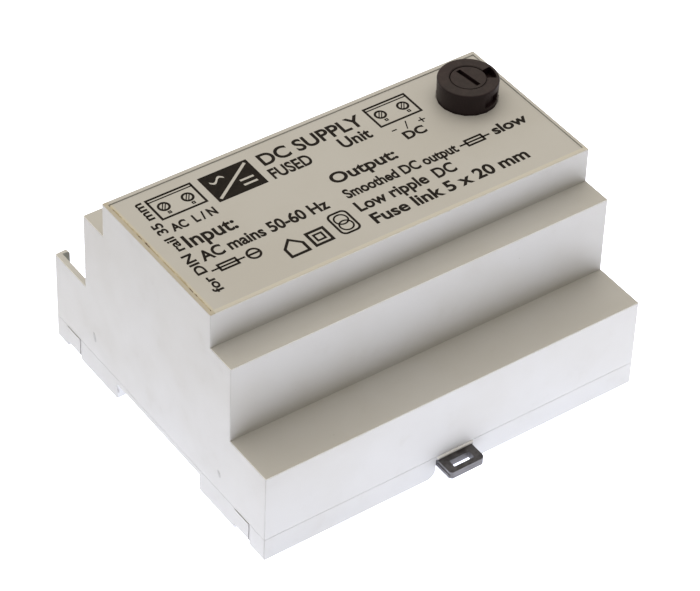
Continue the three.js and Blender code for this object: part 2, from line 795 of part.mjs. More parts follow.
function terminalCage(name, x) {
  const { cageHalfWidth, cageBottom, cageHeight, cageWall } = POLE;
  const cageTop = cageBottom + cageHeight;
  const mouthHalf = cageHalfWidth - 0.6;
  const mouthBottom = cageBottom + cageWall;
  const mouthTop = cageTop - cageWall;
  const halfLength = 2.6;
  const tube = cut(
    box(x - cageHalfWidth, x + cageHalfWidth, -halfLength, halfLength, cageBottom, cageTop),
    box(x - mouthHalf, x + mouthHalf, -halfLength - 1, halfLength + 1, mouthBottom, mouthTop),
    cylinder(x, 0, POLE.shankRadius + 0.35, cageTop - 2, cageTop + 1, 20),
  );
  return part(name, MATERIAL.brass, tube);
}

function terminalContact(name, x) {
  const { barBottom, barThickness } = POLE;
  const barTop = barBottom + barThickness;
  const pinFront = TERMINAL.pinY - TERMINAL.pinHalf;
  const pinRear = TERMINAL.pinY + TERMINAL.pinHalf;
  const bar = box(x - 1.1, x + 1.1, -3, 3, barBottom, barTop);
  const neck = box(x - 0.5, x + 0.5, pinFront, -2.9, barBottom, barTop);
  const pin = box(x - 0.5, x + 0.5, pinFront, pinRear, BOARD.bottom - BOARD.top - pinStub, barTop);
  return part(name, MATERIAL.copper, join(bar, neck, pin));
}

function terminalScrew(name, x) {
  const { screwSeat, barBottom, barThickness, headRadius, headHeight, shankRadius } = POLE;
  const length = screwSeat - barBottom - barThickness - CLEARANCE;
  const screw = part(name, MATERIAL.steel, boltGeometry(headRadius, headHeight, shankRadius, length, 0.6));
  screw.position.set(x, 0, screwSeat);
  return screw;
}

function terminalBlock(label, blockX) {
  const group = new THREE.Group();
  group.position.set(blockX, TERMINAL.y, BOARD.top);
  group.add(terminalBody(`${label}_terminal_block`));
  poleXs(0).forEach((x, index) => {
    const pole = `${label}_${index + 1}`;
    group.add(terminalCage(`terminal_cage_${pole}`, x));
    group.add(terminalContact(`terminal_contact_${pole}`, x));
    group.add(terminalScrew(`terminal_screw_${pole}`, x));
  });
  return group;
}

// ---------------------------------------------------------------- fuse holder

// Heights count from the recessed panel that the ring stands on.
const HOLDER = {
  discBottom: -2,
  boreRadius: 3.95,
  boreBottom: -24.6,
  barrelBottom: -28,
  mouthRadius: 4.7, // the mouth narrows down to the disc
  counterRadius: 4.5,
  sleeveRadius: 3.6,
  sleeveBottom: -10,
  contactRing: -14,
};
const LINK = { radius: 2.6, length: 20, capLength: 5.5, top: -3 };

function holderBody() {
  const { ringRadius, ringBaseRadius, ringHeight, barrelRadius } = FUSE;
  const { boreRadius, boreBottom, barrelBottom, contactRing } = HOLDER;
  const { mouthRadius, counterRadius, discBottom } = HOLDER;
  const counterBottom = discBottom - CLEARANCE;
  const body = turned([
    [1.5, barrelBottom],
    [barrelRadius - 1, barrelBottom],
    [barrelRadius, barrelBottom + 1],
    [barrelRadius, 0],
    [ringBaseRadius, 0],
    [ringRadius - 0.05, ringHeight - 0.3],
    [ringRadius - 0.3, ringHeight],
    [mouthRadius, ringHeight],
    [counterRadius, ringHeight - FUSE.discDepth],
    [counterRadius, counterBottom],
    [boreRadius, counterBottom],
    [boreRadius, contactRing + 1.6],
    [boreRadius + 0.9, contactRing + 1.6],
    [boreRadius + 0.9, contactRing - 1.6],
    [boreRadius, contactRing - 1.6],
    [boreRadius, boreBottom],
    [1.5, boreBottom],
    [1.5, barrelBottom],
  ], 30);
  const holder = cut(body, keyNotch(), sideRecess(), contactWindow());
  return part('fuse_holder_body', MATERIAL.fuseHolder, holder);
}

// A sector of a flat ring, between two angles in degrees.
function ringSector(inner, outer, from, to) {
  const shape = new THREE.Shape();
  shape.absarc(0, 0, outer, from * DEGREE, to * DEGREE);
  shape.absarc(0, 0, inner, to * DEGREE, from * DEGREE, true);
  return shape;
}

// A notch in the ring's top marks the carrier's locked position.
function keyNotch() {
  const rim = 0.8;
  const depth = 2;
  const shape = ringSector(HOLDER.counterRadius - 1, FUSE.ringRadius - rim, -34.5, 5);
  return prismZ(shape, FUSE.ringHeight - depth, FUSE.ringHeight + 1);
}

// A shallow pocket in the ring's side gives a fingernail a hold.
function sideRecess() {
  const depth = 1;
  const shape = ringSector(FUSE.ringRadius - depth, FUSE.ringRadius + 1, -92, -57);
  return prismZ(shape, 1.5, 4.3);
}

function contactWindow() {
  const z = HOLDER.contactRing;
  return box(-1.6, 1.6, HOLDER.boreRadius, FUSE.barrelRadius + 2, z - 1.2, z + 1.2);
}

function holderNut() {
  const cornerRadius = 9;
  const top = -CASE.wall - 0.1;
  const thickness = 3;
  const hexagon = new THREE.Shape();
  for (let corner = 0; corner < 6; corner += 1) {
    const angle = corner * 60 * DEGREE;
    const point = [cornerRadius * Math.cos(angle), cornerRadius * Math.sin(angle)];
    if (corner === 0) {
      hexagon.moveTo(...point);
    } else {
      hexagon.lineTo(...point);
    }
  }
  const bore = new THREE.Path();
  bore.absarc(0, 0, FUSE.barrelRadius + CLEARANCE, 0, 2 * Math.PI);
  hexagon.holes.push(bore);
  return part('fuse_holder_nut', MATERIAL.fuseHolder, prismZ(hexagon, top - thickness, top, 14));
}

// The side contact is a ring in the bore with a solder tag out through the barrel.
function sideContact() {
  const z = HOLDER.contactRing;
  const outer = HOLDER.boreRadius + 0.6;
  const inner = HOLDER.boreRadius + 0.1;
  const ring = turned([
    [inner, z - 1.2],
    [outer, z - 1.2],
    [outer, z + 1.2],
    [inner, z + 1.2],
    [inner, z - 1.2],
  ], 24);
  const tag = box(-1.2, 1.2, outer - 0.3, FUSE.barrelRadius + 3.2, z - 0.4, z + 0.4);
  return part('fuse_side_contact', MATERIAL.brass, join(ring, tag));
}

function endContact() {
  const face = LINK.top - LINK.length - CLEARANCE;
  const tagBottom = HOLDER.barrelBottom - 5;
  const stemBottom = HOLDER.barrelBottom - 1;
  const stem = turned([
    [0, stemBottom],
    [1.2, stemBottom],
    [1.2, face - 1],
    [2.4, face - 0.7],
    [2.4, face],
    [0, face],
  ], 20);
  const tag = box(-1.2, 1.2, -0.4, 0.4, tagBottom, HOLDER.barrelBottom - 0.3);
  return part('fuse_end_contact', MATERIAL.brass, join(stem, tag));
}

function fuseCarrier() {
  const { discRadius, ringHeight, discDepth } = FUSE;
  const top = ringHeight - discDepth;
  const slotDepth = 1.1;
  const { discBottom, sleeveRadius, sleeveBottom } = HOLDER;
  const sleeveInner = LINK.radius + CLEARANCE;
  const linkRoom = LINK.top + CLEARANCE;
  const carrier = turned([
    [0, linkRoom],
    [sleeveInner, linkRoom],
    [sleeveInner, sleeveBottom],
    [sleeveRadius, sleeveBottom],
    [sleeveRadius, discBottom],
    [discRadius, discBottom],
    [discRadius, top - 0.2],
    [discRadius - 0.2, top],
    [0, top],
  ], 30);
  const slot = box(-0.65, 0.65, -3.6, 3.6, top - slotDepth, top + 1).rotateZ(6.5 * DEGREE);
  return part('fuse_carrier', MATERIAL.fuseHolder, cut(carrier, slot));
}

// An end cap is a cup that opens towards the middle of the link.
function linkCap(name, closedZ, openZ) {
  const { radius } = LINK;
  const inner = radius - 0.2;
  const opensUp = openZ > closedZ;
  const plateZ = closedZ + (opensUp ? 0.4 : -0.4);
  const profile = [
    [0, closedZ],
    [radius, closedZ],
    [radius, openZ],
    [inner, openZ],
    [inner, plateZ],
    [0, plateZ],
  ];
  return part(name, MATERIAL.steel, turned(opensUp ? profile : profile.reverse(), 24));
}

function fuseLink() {
  const { radius, length, capLength, top } = LINK;
  const bottom = top - length;
  const glassOuter = radius - 0.3;
  const glassInner = glassOuter - 0.4;
  const plate = 0.5;
  const tube = turned([
    [glassInner, bottom + plate],
    [glassOuter, bottom + plate],
    [glassOuter, top - plate],
    [glassInner, top - plate],
    [glassInner, bottom + plate],
  ], 24);
  const wire = cylinder(0, 0, 0.15, bottom + plate, top - plate, 8);
  return [
    part('fuse_glass', MATERIAL.glass, tube),
    part('fuse_wire', MATERIAL.steel, wire),
    linkCap('fuse_cap_upper', top, top - capLength),
    linkCap('fuse_cap_lower', bottom, bottom + capLength),
  ];
}

function fuseHolder() {
  const group = new THREE.Group();
  group.position.set(FUSE.x, FUSE.y, labelFloor);
  group.add(holderBody(), holderNut(), sideContact(), endContact(), fuseCarrier(), ...fuseLink());
  return group;
}

// ---------------------------------------------------------------- insulated leads

function lead(name, material, radius, points) {
  const route = points.map((point) => new THREE.Vector3(...point));
  const path = new THREE.CatmullRomCurve3(route, false, 'centripetal');
  const steps = Math.ceil(path.getLength() / 2.5);
  const section = new THREE.Shape();
  section.absarc(0, 0, radius, 0, 2 * Math.PI);
  const options = { steps, curveSegments: 3, extrudePath: path, bevelEnabled: false };
  return part(name, material, new THREE.ExtrudeGeometry(section, options));
}

function leads() {
  const board = BOARD.top + CLEARANCE;
  const wire = 0.6;
  const coreMiddle = CORE.bottom + CORE.stack / 2;
  const coreTop = CORE.bottom + CORE.stack;
  const underCore = CORE.bottom - 2.5;
  const coilBottom = coreMiddle - coilHalfHeight;
  const cutoutEnd = CORE.x + cutout.x + cutout.length / 2 + 3;
  const cutoutZ = coreMiddle + cutoutHeight;
  const behindCore = CORE.width / 2 + 0.8;
  const slotX = CORE.x - 8;
  const outX = CORE.x + 8;
  const fuseTagZ = labelFloor + HOLDER.barrelBottom - 5;
  return [
    lead('lead_primary_live', MATERIAL.wireBlack, wire, [
      [cutoutEnd, cutout.y, cutoutZ],
      [cutoutEnd + 2.5, cutout.y + 2, cutoutZ],
      [cutoutEnd + 3, windowHalf - 2.5, cutoutZ],
      [cutoutEnd + 3, windowHalf + 0.9, cutoutZ - 1.2],
      [cutoutEnd + 3, windowHalf + 1.9, coreTop + 6],
      [cutoutEnd + 3, windowHalf + 4.5, coreTop + 2.8],
      [cutoutEnd + 3, behindCore - 2, coreTop + 2.3],
      [cutoutEnd + 3, behindCore - 0.2, coreTop + 1.2],
      [cutoutEnd + 3, behindCore, coreTop - 2],
      [cutoutEnd + 3, behindCore, CORE.bottom],
      [cutoutEnd + 3, behindCore - 0.2, 13],
      [cutoutEnd + 3, behindCore + 0.8, 10.8],
      [cutoutEnd + 3, behindCore + 3.4, 10.6],
      [cutoutEnd + 3, behindCore + 5.6, 10.8],
      [cutoutEnd + 3, behindCore + 6.2, board],
    ]),
    lead('lead_primary_neutral', MATERIAL.wireBlue, wire, [
      [slotX, windowHalf + 0.3, coilBottom + 3],
      [slotX, windowHalf + 3, coilBottom + 3.4],
      [slotX - 1, 27, 11.2],
      [slotX - 1, 33.4, 10.9],
      [slotX - 1, 34.2, board],
    ]),
    lead('lead_secondary_1', MATERIAL.wireRed, wire, [
      [outX, -windowHalf - 0.3, coilBottom + 3],
      [outX + 1, -windowHalf - 4, coilBottom + 3.2],
      [outX + 8, -windowHalf - 8, underCore],
      [BOARD.split - 1, -29, 12.5],
      [BOARD.split + 3.5, -30, 11.5],
      [BOARD.split + 4, -30.2, board],
    ]),
    lead('lead_secondary_2', MATERIAL.wireRed, wire, [
      [slotX, -windowHalf - 0.3, coilBottom + 3],
      [slotX + 1, -windowHalf - 6, coilBottom + 3.2],
      [slotX + 12, -33, 11],
      [BOARD.split - 2, -34, 12],
      [BOARD.split + 3.5, -34.6, 11.5],
      [BOARD.split + 4, -34.8, board],
    ]),
    lead('lead_fuse_side', MATERIAL.wireBlack, wire, [
      [FUSE.x, FUSE.y + 9.6, labelFloor + HOLDER.contactRing - 1.2],
      [FUSE.x, FUSE.y + 10, labelFloor + HOLDER.contactRing - 4],
      [FUSE.x + 6.5, FUSE.y + 9, 31],
      [FUSE.x + 6.8, FUSE.y + 8, 20],
      [FUSE.x + 6, FUSE.y + 8, 12],
      [FUSE.x + 6, FUSE.y + 8, board],
    ]),
    lead('lead_fuse_end', MATERIAL.wireBlack, wire, [
      [FUSE.x, FUSE.y, fuseTagZ - 0.3],
      [FUSE.x - 0.4, FUSE.y - 0.6, fuseTagZ - 4],
      [FUSE.x - 1.5, FUSE.y - 2, 14],
      [FUSE.x - 1.5, FUSE.y - 2, board],
    ]),
  ];
}

// ---------------------------------------------------------------- assembly

const assembly = new THREE.Group();
assembly.add(upperHousing(), labelPlate(), baseTray(), railLatch());
assembly.add(transformer());
assembly.add(circuitBoard(), bridgeRectifier());
assembly.add(...capacitor.xs.map((x, index) => smoothingCapacitor(index)));
assembly.add(...boardScrews.map((place, index) => boardScrew(index, place)));
assembly.add(terminalBlock('input', TERMINAL.inputX), terminalBlock('output', TERMINAL.outputX));
assembly.add(fuseHolder());
assembly.add(...leads());
assembly.position.z = -RAIL.recessDepth;

export default assembly;
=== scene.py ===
"""The looks of a rail-mounted power supply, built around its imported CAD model."""
import json
import math
import random

import bmesh
import bpy
from mathutils import Euler, Matrix, Vector


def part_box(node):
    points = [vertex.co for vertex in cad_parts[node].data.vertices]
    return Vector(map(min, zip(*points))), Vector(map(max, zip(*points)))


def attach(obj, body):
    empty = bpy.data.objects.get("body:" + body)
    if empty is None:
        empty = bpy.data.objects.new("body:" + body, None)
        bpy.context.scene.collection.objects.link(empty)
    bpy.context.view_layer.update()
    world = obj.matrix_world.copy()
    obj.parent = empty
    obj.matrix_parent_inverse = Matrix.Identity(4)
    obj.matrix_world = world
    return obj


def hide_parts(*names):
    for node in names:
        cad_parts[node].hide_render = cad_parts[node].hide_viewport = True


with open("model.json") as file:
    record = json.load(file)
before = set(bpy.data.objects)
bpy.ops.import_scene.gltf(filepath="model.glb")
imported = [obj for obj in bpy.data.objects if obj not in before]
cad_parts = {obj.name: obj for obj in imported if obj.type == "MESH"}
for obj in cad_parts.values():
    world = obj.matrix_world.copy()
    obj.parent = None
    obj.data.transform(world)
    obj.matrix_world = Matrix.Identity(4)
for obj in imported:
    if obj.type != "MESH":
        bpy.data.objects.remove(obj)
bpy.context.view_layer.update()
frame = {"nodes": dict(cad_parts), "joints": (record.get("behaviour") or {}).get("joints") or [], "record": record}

MM = 0.001
WAVE_LENGTH = 0.314  # from band to band of a wave texture, at scale 1
SAME_PLACE = 2e-6  # corners of a CAD mesh that are nearer than this are one, in metres
FLAT_ANGLE = math.radians(0.7)  # faces that differ by less make one flat face
SHARP_ANGLE = math.radians(32)  # an edge that turns by more can be rounded
NODES = frame["nodes"]
RECORD = frame["record"]
FUSE_AXIS = next(joint["pos_m"][:2] for joint in frame["joints"] if joint["name"] == "fuse_turn")
BODY_OF = {node: body for body, nodes in RECORD["behaviour"]["bodies"].items() for node in nodes}
SLOT_OF = {part["node"]: part["material_slot"] for part in RECORD["subparts"]}


# ---- node graphs

class Graph:
    """A short way to write a material's nodes. Positions are the object's own, in metres."""

    def __init__(self, name):
        self.material = bpy.data.materials.new(name)
        self.material.use_nodes = True
        self.tree = self.material.node_tree
        self.shader = self.tree.nodes["Principled BSDF"]
        self.position = self.add("TexCoord").outputs["Object"]

    def add(self, kind, sockets=None, **settings):
        """A new node with its settings, and its input sockets by name or number."""
        node = self.tree.nodes.new(f"ShaderNode{kind}")
        for key, value in settings.items():
            setattr(node, key, value)
        for key, value in (sockets or {}).items():
            self.feed(node.inputs[key], value)
        return node

    def feed(self, socket, value):
        if isinstance(value, bpy.types.NodeSocket):
            self.tree.links.new(value, socket)
        elif isinstance(value, tuple) and len(value) == 3 and socket.type == "RGBA":
            socket.default_value = (*value, 1.0)
        else:
            socket.default_value = value

    def stretched(self, scale):
        return self.add("Mapping", {"Vector": self.position, "Scale": scale}).outputs["Vector"]

    def noise(self, size, detail=4.0, roughness=0.55, stretch=None):
        """Smooth noise whose features are about size metres across, from 0 to 1."""
        place = self.stretched(stretch) if stretch else self.position
        sockets = {"Vector": place, "Scale": 1.0 / size}
        return self.add("TexNoise", {**sockets, "Detail": detail, "Roughness": roughness}).outputs["Fac"]

    def cells(self, size):
        return self.add("TexVoronoi", {"Vector": self.position, "Scale": 1.0 / size}).outputs["Distance"]

    def wave(self, size, vector, distortion, **settings):
        sockets = {"Vector": vector, "Scale": WAVE_LENGTH / size, "Distortion": distortion}
        return self.add("TexWave", sockets, **settings).outputs["Fac"]

    def bands(self, size, axis, distortion):
        return self.wave(size, self.position, distortion, wave_type="BANDS", bands_direction=axis)

    def rings(self, size, centre):
        """Turning marks: rings around an upright axis through centre."""
        shift = self.add("Mapping", {"Vector": self.position, "Location": (-centre[0], -centre[1], 0.0)})
        return self.wave(size, shift.outputs["Vector"], 0.0, wave_type="RINGS", rings_direction="Z")

    def math(self, operation, a, b=0.0):
        return self.add("Math", {0: a, 1: b}, operation=operation).outputs[0]

    def times(self, a, b):
        return self.math("MULTIPLY", a, b)

    def span(self, value, low, high, to_low=0.0, to_high=1.0):
        """Maps low..high to to_low..to_high, smoothly and held at both ends."""
        sockets = {"Value": value, "From Min": low, "From Max": high, "To Min": to_low, "To Max": to_high}
        return self.add("MapRange", sockets, interpolation_type="SMOOTHSTEP").outputs["Result"]

    def mix(self, factor, a, b):
        return self.add("Mix", {"Factor": factor, 6: a, 7: b}, data_type="RGBA").outputs[2]

    def tint(self, colour, mask, amount, paint):
        """The colour, with an amount of paint laid over it where the mask is 1."""
        return self.mix(self.times(mask, amount), colour, paint)

    def blend(self, value, low, high, a, b):
        """Colour a where the value is low, going over to b where it is high."""
        return self.mix(self.span(value, low, high), a, b)

    def vary(self, value, low, high):
        """From low to high, as the middle of a noise's range does."""
        return self.span(value, 0.3, 0.7, low, high)

    def axis(self, index):
        return self.add("SeparateXYZ", {0: self.position}).outputs[index]

    def facing(self, index):
        """The surface normal's part along X, Y or Z."""
        normal = self.add("NewGeometry").outputs["Normal"]
        return self.add("SeparateXYZ", {0: normal}).outputs[index]

    def squareness(self, index):
        """How squarely the surface faces along X, Y or Z, whichever way."""
        return self.math("ABSOLUTE", self.facing(index))

    def crevice(self, reach):
        """0 in a crevice narrower than reach and 1 on open faces."""
        node = self.add("AmbientOcclusion", {"Distance": reach}, samples=8, only_local=True)
        return self.span(node.outputs["AO"], 0.55, 1.0)

    def bump(self, height, distance, strength, normal=None):
        node = self.add("Bump", {"Height": height, "Strength": strength, "Distance": distance})
        if normal is not None:
            self.feed(node.inputs["Normal"], normal)
        return node.outputs["Normal"]

    def grain(self, size, detail, distance, strength, normal=None):
        """Bumps of plain noise, added to the bumps in normal."""
        return self.bump(self.noise(size, detail), distance, strength, normal)

    def finish(self, colour, roughness, normal, **sockets):
        self.feed(self.shader.inputs["Base Color"], colour)
        self.feed(self.shader.inputs["Roughness"], roughness)
        self.feed(self.shader.inputs["Normal"], normal)
        for key, value in sockets.items():
            self.shader.inputs[key.replace("_", " ")].default_value = value
        return self.material


# ---- materials

HOUSING_GREY = (0.6, 0.6, 0.6)
HOUSING_WARM = (0.575, 0.57, 0.558)
LABEL_GREY = (0.58, 0.578, 0.578)
TABLE_GLOW = (2.03, 0.62)
GLOW_CENTRE = (0.1, -0.1, 0.0)


def housing_plastic(label_left, label_front, top):
    """Light-grey moulded plastic with a fine spark-eroded grain, handled but clean.

    Its rounded upright edges carry painted shade, its rounded step edges and the rim in front of the label carry a
    painted highlight, and the rim is yellowed by adhesive to its left.
    """
    g = Graph("housing_plastic")
    cloud = g.noise(0.03, detail=3)
    colour = g.blend(cloud, 0.35, 0.7, HOUSING_GREY, HOUSING_WARM)
    smudge = g.noise(0.007, detail=5, roughness=0.65)
    colour = g.mix(g.span(smudge, 0.56, 0.8, 0.0, 0.25), colour, (0.5, 0.485, 0.455))
    speck = g.cells(0.0045)
    dots = g.times(g.span(speck, 0.035, 0.022), g.span(g.noise(0.009), 0.54, 0.62))
    colour = g.tint(colour, dots, 0.45, (0.26, 0.24, 0.21))
    scratch = g.noise(0.0011, detail=2, stretch=(0.06, 1.0, 1.0))
    marks = g.times(g.span(scratch, 0.745, 0.79), g.span(g.noise(0.012), 0.5, 0.62))
    colour = g.tint(colour, marks, 0.22, (0.76, 0.76, 0.75))
    outward = g.math("MAXIMUM", g.squareness(0), g.squareness(1))
    rounded = g.span(g.math("MAXIMUM", outward, g.squareness(2)), 0.97, 0.8)
    # Painted shade: the rounded upright edges are darkened, more where the smudge noise is high.
    painted_edge_shade = g.times(rounded, g.span(smudge, 0.3, 0.6, 0.22, 0.36))
    painted_edge_shade = g.times(painted_edge_shade, g.span(g.facing(2), 0.35, 0.15))
    colour = g.mix(painted_edge_shade, colour, (0.3, 0.285, 0.265))
    # Painted highlight: the rounded edges of the steps, between their tops and their fronts and ends, are
    # lightened nearly to white.
    painted_edge_highlight = g.times(rounded, g.span(outward, 0.3, 0.5))
    painted_edge_highlight = g.times(painted_edge_highlight, g.span(g.facing(2), 0.3, 0.5))
    colour = g.mix(painted_edge_highlight, colour, (0.95, 0.945, 0.93))
    rim = g.times(g.span(g.facing(2), 0.3, 0.7), g.span(g.axis(2), top - 0.002, top - 0.001))
    # Painted highlight: the rim's top in front of the label is lightened to cream. The rim's top to the left of
    # the label is really yellowed by adhesive.
    painted_rim_highlight = g.times(rim, g.span(g.axis(1), label_front + 0.0003, label_front))
    left_rim = g.times(rim, g.span(g.axis(0), label_left + 0.0003, label_left))
    colour = g.tint(colour, painted_rim_highlight, 0.6, (0.705, 0.68, 0.61))
    colour = g.tint(colour, left_rim, 0.75, (0.53, 0.48, 0.38))
    grain = g.noise(0.00028, detail=3, roughness=0.6)
    roughness = g.math("ADD", g.span(smudge, 0.3, 0.75, 0.44, 0.58), g.times(marks, -0.1))
    normal = g.bump(grain, 0.000022, 0.55, g.grain(0.0028, 2, 0.00006, 0.3))
    return g.finish(colour, roughness, normal, Specular_IOR_Level=0.42)


def scarred_plastic():
    """Housing plastic left rough and a shade darker where the mould's ejectors met."""
    g = Graph("scarred_plastic")
    rough = g.noise(0.0006, detail=4, roughness=0.7)
    colour = g.blend(rough, 0.3, 0.7, (0.52, 0.52, 0.525), (0.455, 0.45, 0.445))
    return g.finish(colour, 0.6, g.bump(rough, 0.00004, 0.6), Specular_IOR_Level=0.35)


def label_film(left):
    """Grey printed film with a satin lacquer, stained brown by adhesive along its left edge."""
    g = Graph("label_film")
    cloud = g.noise(0.02, detail=4)
    colour = g.blend(cloud, 0.35, 0.68, LABEL_GREY, (0.557, 0.551, 0.544))
    fibre = g.noise(0.0006, detail=3, roughness=0.7)
    colour = g.mix(g.span(fibre, 0.35, 0.75, 0.0, 0.1), colour, (0.615, 0.61, 0.605))
    smear = g.noise(0.004, detail=5, roughness=0.62, stretch=(1.0, 0.35, 1.0))
    yellowed = g.span(g.axis(0), left + 0.0009, left + 0.0003)
    colour = g.tint(colour, yellowed, 0.6, (0.68, 0.63, 0.49))
    edge = g.span(g.axis(0), left + 0.0006, left + 0.0001)
    stain = g.times(edge, g.span(smear, 0.56, 0.68))
    colour = g.tint(colour, stain, 0.65, (0.3, 0.22, 0.115))
    roughness = g.math("ADD", g.vary(fibre, 0.36, 0.46), g.times(stain, 0.2))
    normal = g.grain(0.004, 2, 0.00005, 0.25)
    normal = g.bump(fibre, 0.000012, 0.5, normal)
    return g.finish(colour, roughness, normal, Specular_IOR_Level=0.45)


def ink():
    """Screen-printed dark ink, slightly uneven in density."""
    g = Graph("label_ink")
    density = g.noise(0.0011, detail=4, roughness=0.7)
    colour = g.blend(density, 0.35, 0.75, (0.008, 0.006, 0.005), (0.022, 0.017, 0.014))
    normal = g.grain(0.0002, 2, 0.00001, 0.5)
    return g.finish(colour, g.vary(density, 0.38, 0.55), normal, Specular_IOR_Level=0.08)


def old_adhesive():
    """Label adhesive that has browned with age, from ochre to dark brown."""
    g = Graph("label_adhesive")
    cloud = g.noise(0.004, detail=3)
    colour = g.blend(cloud, 0.38, 0.62, (0.6, 0.54, 0.39), (0.42, 0.35, 0.21))
    age = g.noise(0.0016, detail=4, roughness=0.6, stretch=(1.0, 0.55, 1.0))
    colour = g.blend(age, 0.52, 0.62, colour, (0.12, 0.07, 0.03))
    normal = g.grain(0.0003, 3, 0.00002, 0.6)
    return g.finish(colour, g.vary(age, 0.32, 0.5), normal)


def dark_plastic(colour, painted_light_grey, roughness):
    """Black moulded plastic with a fine grain, and painted light: grey on its rounded edges and, in patches, on
    its upright sides.
    """
    g = Graph("latch_plastic")
    cloud = g.noise(0.006, detail=5, roughness=0.65)
    tone = g.mix(g.span(cloud, 0.35, 0.7, 0.0, 0.6), colour, tuple(c * 1.5 for c in colour))
    edge = g.add("NewGeometry").outputs["Pointiness"]
    # Painted highlight: the rounded edges are lightened towards the grey, unevenly.
    painted_edge_light = g.times(g.span(edge, 0.505, 0.56), g.span(g.noise(0.0018), 0.35, 0.6, 0.45, 1.0))
    # Painted light: the upright sides are lightened towards the grey, in patches of noise.
    upright = g.span(g.squareness(2), 0.75, 0.35)
    painted_light_patches = g.span(g.noise(0.0015, detail=4, stretch=(0.5, 0.5, 2.0)), 0.3, 0.62, 0.35, 0.75)
    tone = g.mix(g.times(upright, painted_light_patches), tone, painted_light_grey)
    tone = g.tint(tone, painted_edge_light, 0.45, painted_light_grey)
    rough = g.span(cloud, 0.3, 0.75, roughness - 0.06, roughness + 0.08)
    normal = g.grain(0.00022, 3, 0.000016, 0.6, g.grain(0.0016, 2, 0.00003, 0.3))
    return g.finish(tone, rough, normal, Specular_IOR_Level=0.32)


def turned_plastic(centre):
    """The fuse holder's brown-black plastic, with faint turning marks round its axis."""
    g = Graph("holder_plastic")
    cloud = g.noise(0.005, detail=5, roughness=0.65)
    dark, light = (0.014, 0.006, 0.008), (0.0235, 0.0115, 0.0145)
    tone = g.blend(cloud, 0.35, 0.7, dark, light)
    dust = g.times(g.span(g.facing(2), 0.6, 0.95), g.span(g.noise(0.0014, detail=5), 0.4, 0.72))
    tone = g.tint(tone, dust, 0.2, (0.075, 0.05, 0.048))
    rings = g.times(g.rings(0.00045, centre), g.noise(0.0025))
    normal = g.bump(rings, 0.00001, 0.5)
    normal = g.grain(0.00025, 3, 0.000014, 0.6, normal)
    return g.finish(tone, g.vary(cloud, 0.42, 0.54), normal, Specular_IOR_Level=0.3)


def coloured_plastic(name, colour, roughness=0.42):
    """Moulded engineering plastic in one strong colour, for terminal blocks and the bobbin."""
    g = Graph(name)
    cloud = g.noise(0.006, detail=4)
    tone = g.blend(cloud, 0.35, 0.7, colour, tuple(c * 0.82 for c in colour))
    dust = g.times(g.span(g.facing(2), 0.5, 0.95), g.span(g.noise(0.0016, detail=5), 0.45, 0.8))
    tone = g.tint(tone, dust, 0.22, (0.42, 0.4, 0.36))
    normal = g.grain(0.0003, 3, 0.000016, 0.6)
    return g.finish(tone, g.vary(cloud, roughness - 0.05, roughness + 0.08), normal)


def board_laminate():
    """Paper laminate under a translucent green-brown solder resist, with its weave showing faintly."""
    g = Graph("board_laminate")
    weave = g.times(g.bands(0.00045, "X", 0.4), g.bands(0.00045, "Y", 0.4))
    colour = g.blend(weave, 0.1, 0.8, (0.055, 0.13, 0.048), (0.07, 0.165, 0.06))
    colour = g.mix(g.span(g.noise(0.012, detail=4), 0.4, 0.7, 0.0, 0.5), colour, (0.045, 0.105, 0.04))
    edge = g.span(g.squareness(2), 0.75, 0.25)
    colour = g.mix(edge, colour, (0.44, 0.36, 0.2))
    normal = g.bump(weave, 0.000014, 0.5)
    return g.finish(colour, g.vary(g.noise(0.004), 0.24, 0.36), normal, Coat_Weight=0.3)


def laminations():
    """Stacked sheet steel: the plates' edges show as fine lines, with varnish and a little rust."""
    g = Graph("lamination_steel")
    plates = g.bands(0.0005, "Z", 0.25)
    side = g.span(g.squareness(2), 0.8, 0.4)
    lines = g.times(plates, side)
    colour = g.blend(lines, 0.2, 0.8, (0.17, 0.165, 0.16), (0.05, 0.046, 0.043))
    rust = g.span(g.noise(0.005, detail=6, roughness=0.7), 0.6, 0.74)
    colour = g.tint(colour, rust, 0.6, (0.135, 0.058, 0.024))
    normal = g.bump(lines, 0.00008, 0.9)
    normal = g.grain(0.0009, 4, 0.00003, 0.4, normal)
    rough = g.vary(g.noise(0.003, detail=4), 0.34, 0.52)
    return g.finish(colour, rough, normal, Metallic=0.75, Coat_Weight=0.25)


def wound_copper():
    """Layer-wound enamelled wire."""
    g = Graph("winding_copper")
    turns = g.bands(0.00042, "Y", 0.5)
    colour = g.blend(turns, 0.1, 0.9, (0.17, 0.045, 0.012), (0.56, 0.19, 0.055))
    rough = g.vary(g.noise(0.002), 0.22, 0.34)
    return g.finish(colour, rough, g.bump(turns, 0.00018, 1.0), Metallic=0.85, Coat_Weight=0.4)


def winding_tape():
    """Overlapping turns of yellow polyester tape."""
    g = Graph("winding_tape")
    laps = g.bands(0.0062, "X", 0.1)
    creases = g.noise(0.0012, detail=4, stretch=(0.3, 1.0, 0.3))
    colour = g.blend(laps, 0.1, 0.9, (0.66, 0.41, 0.045), (0.54, 0.31, 0.03))
    normal = g.bump(g.span(laps, 0.45, 0.5), 0.00005, 0.6)
    normal = g.bump(creases, 0.00006, 0.4, normal)
    return g.finish(colour, g.vary(creases, 0.16, 0.3), normal, Coat_Weight=0.5)


def insulation(name, colour):
    """Flexible wire insulation, a little waxy."""
    g = Graph(name)
    cloud = g.noise(0.004, detail=4)
    tone = g.blend(cloud, 0.35, 0.7, colour, tuple(min(1.0, c * 1.25 + 0.004) for c in colour))
    normal = g.grain(0.0005, 3, 0.00002, 0.5)
    return g.finish(tone, g.vary(cloud, 0.3, 0.42), normal)


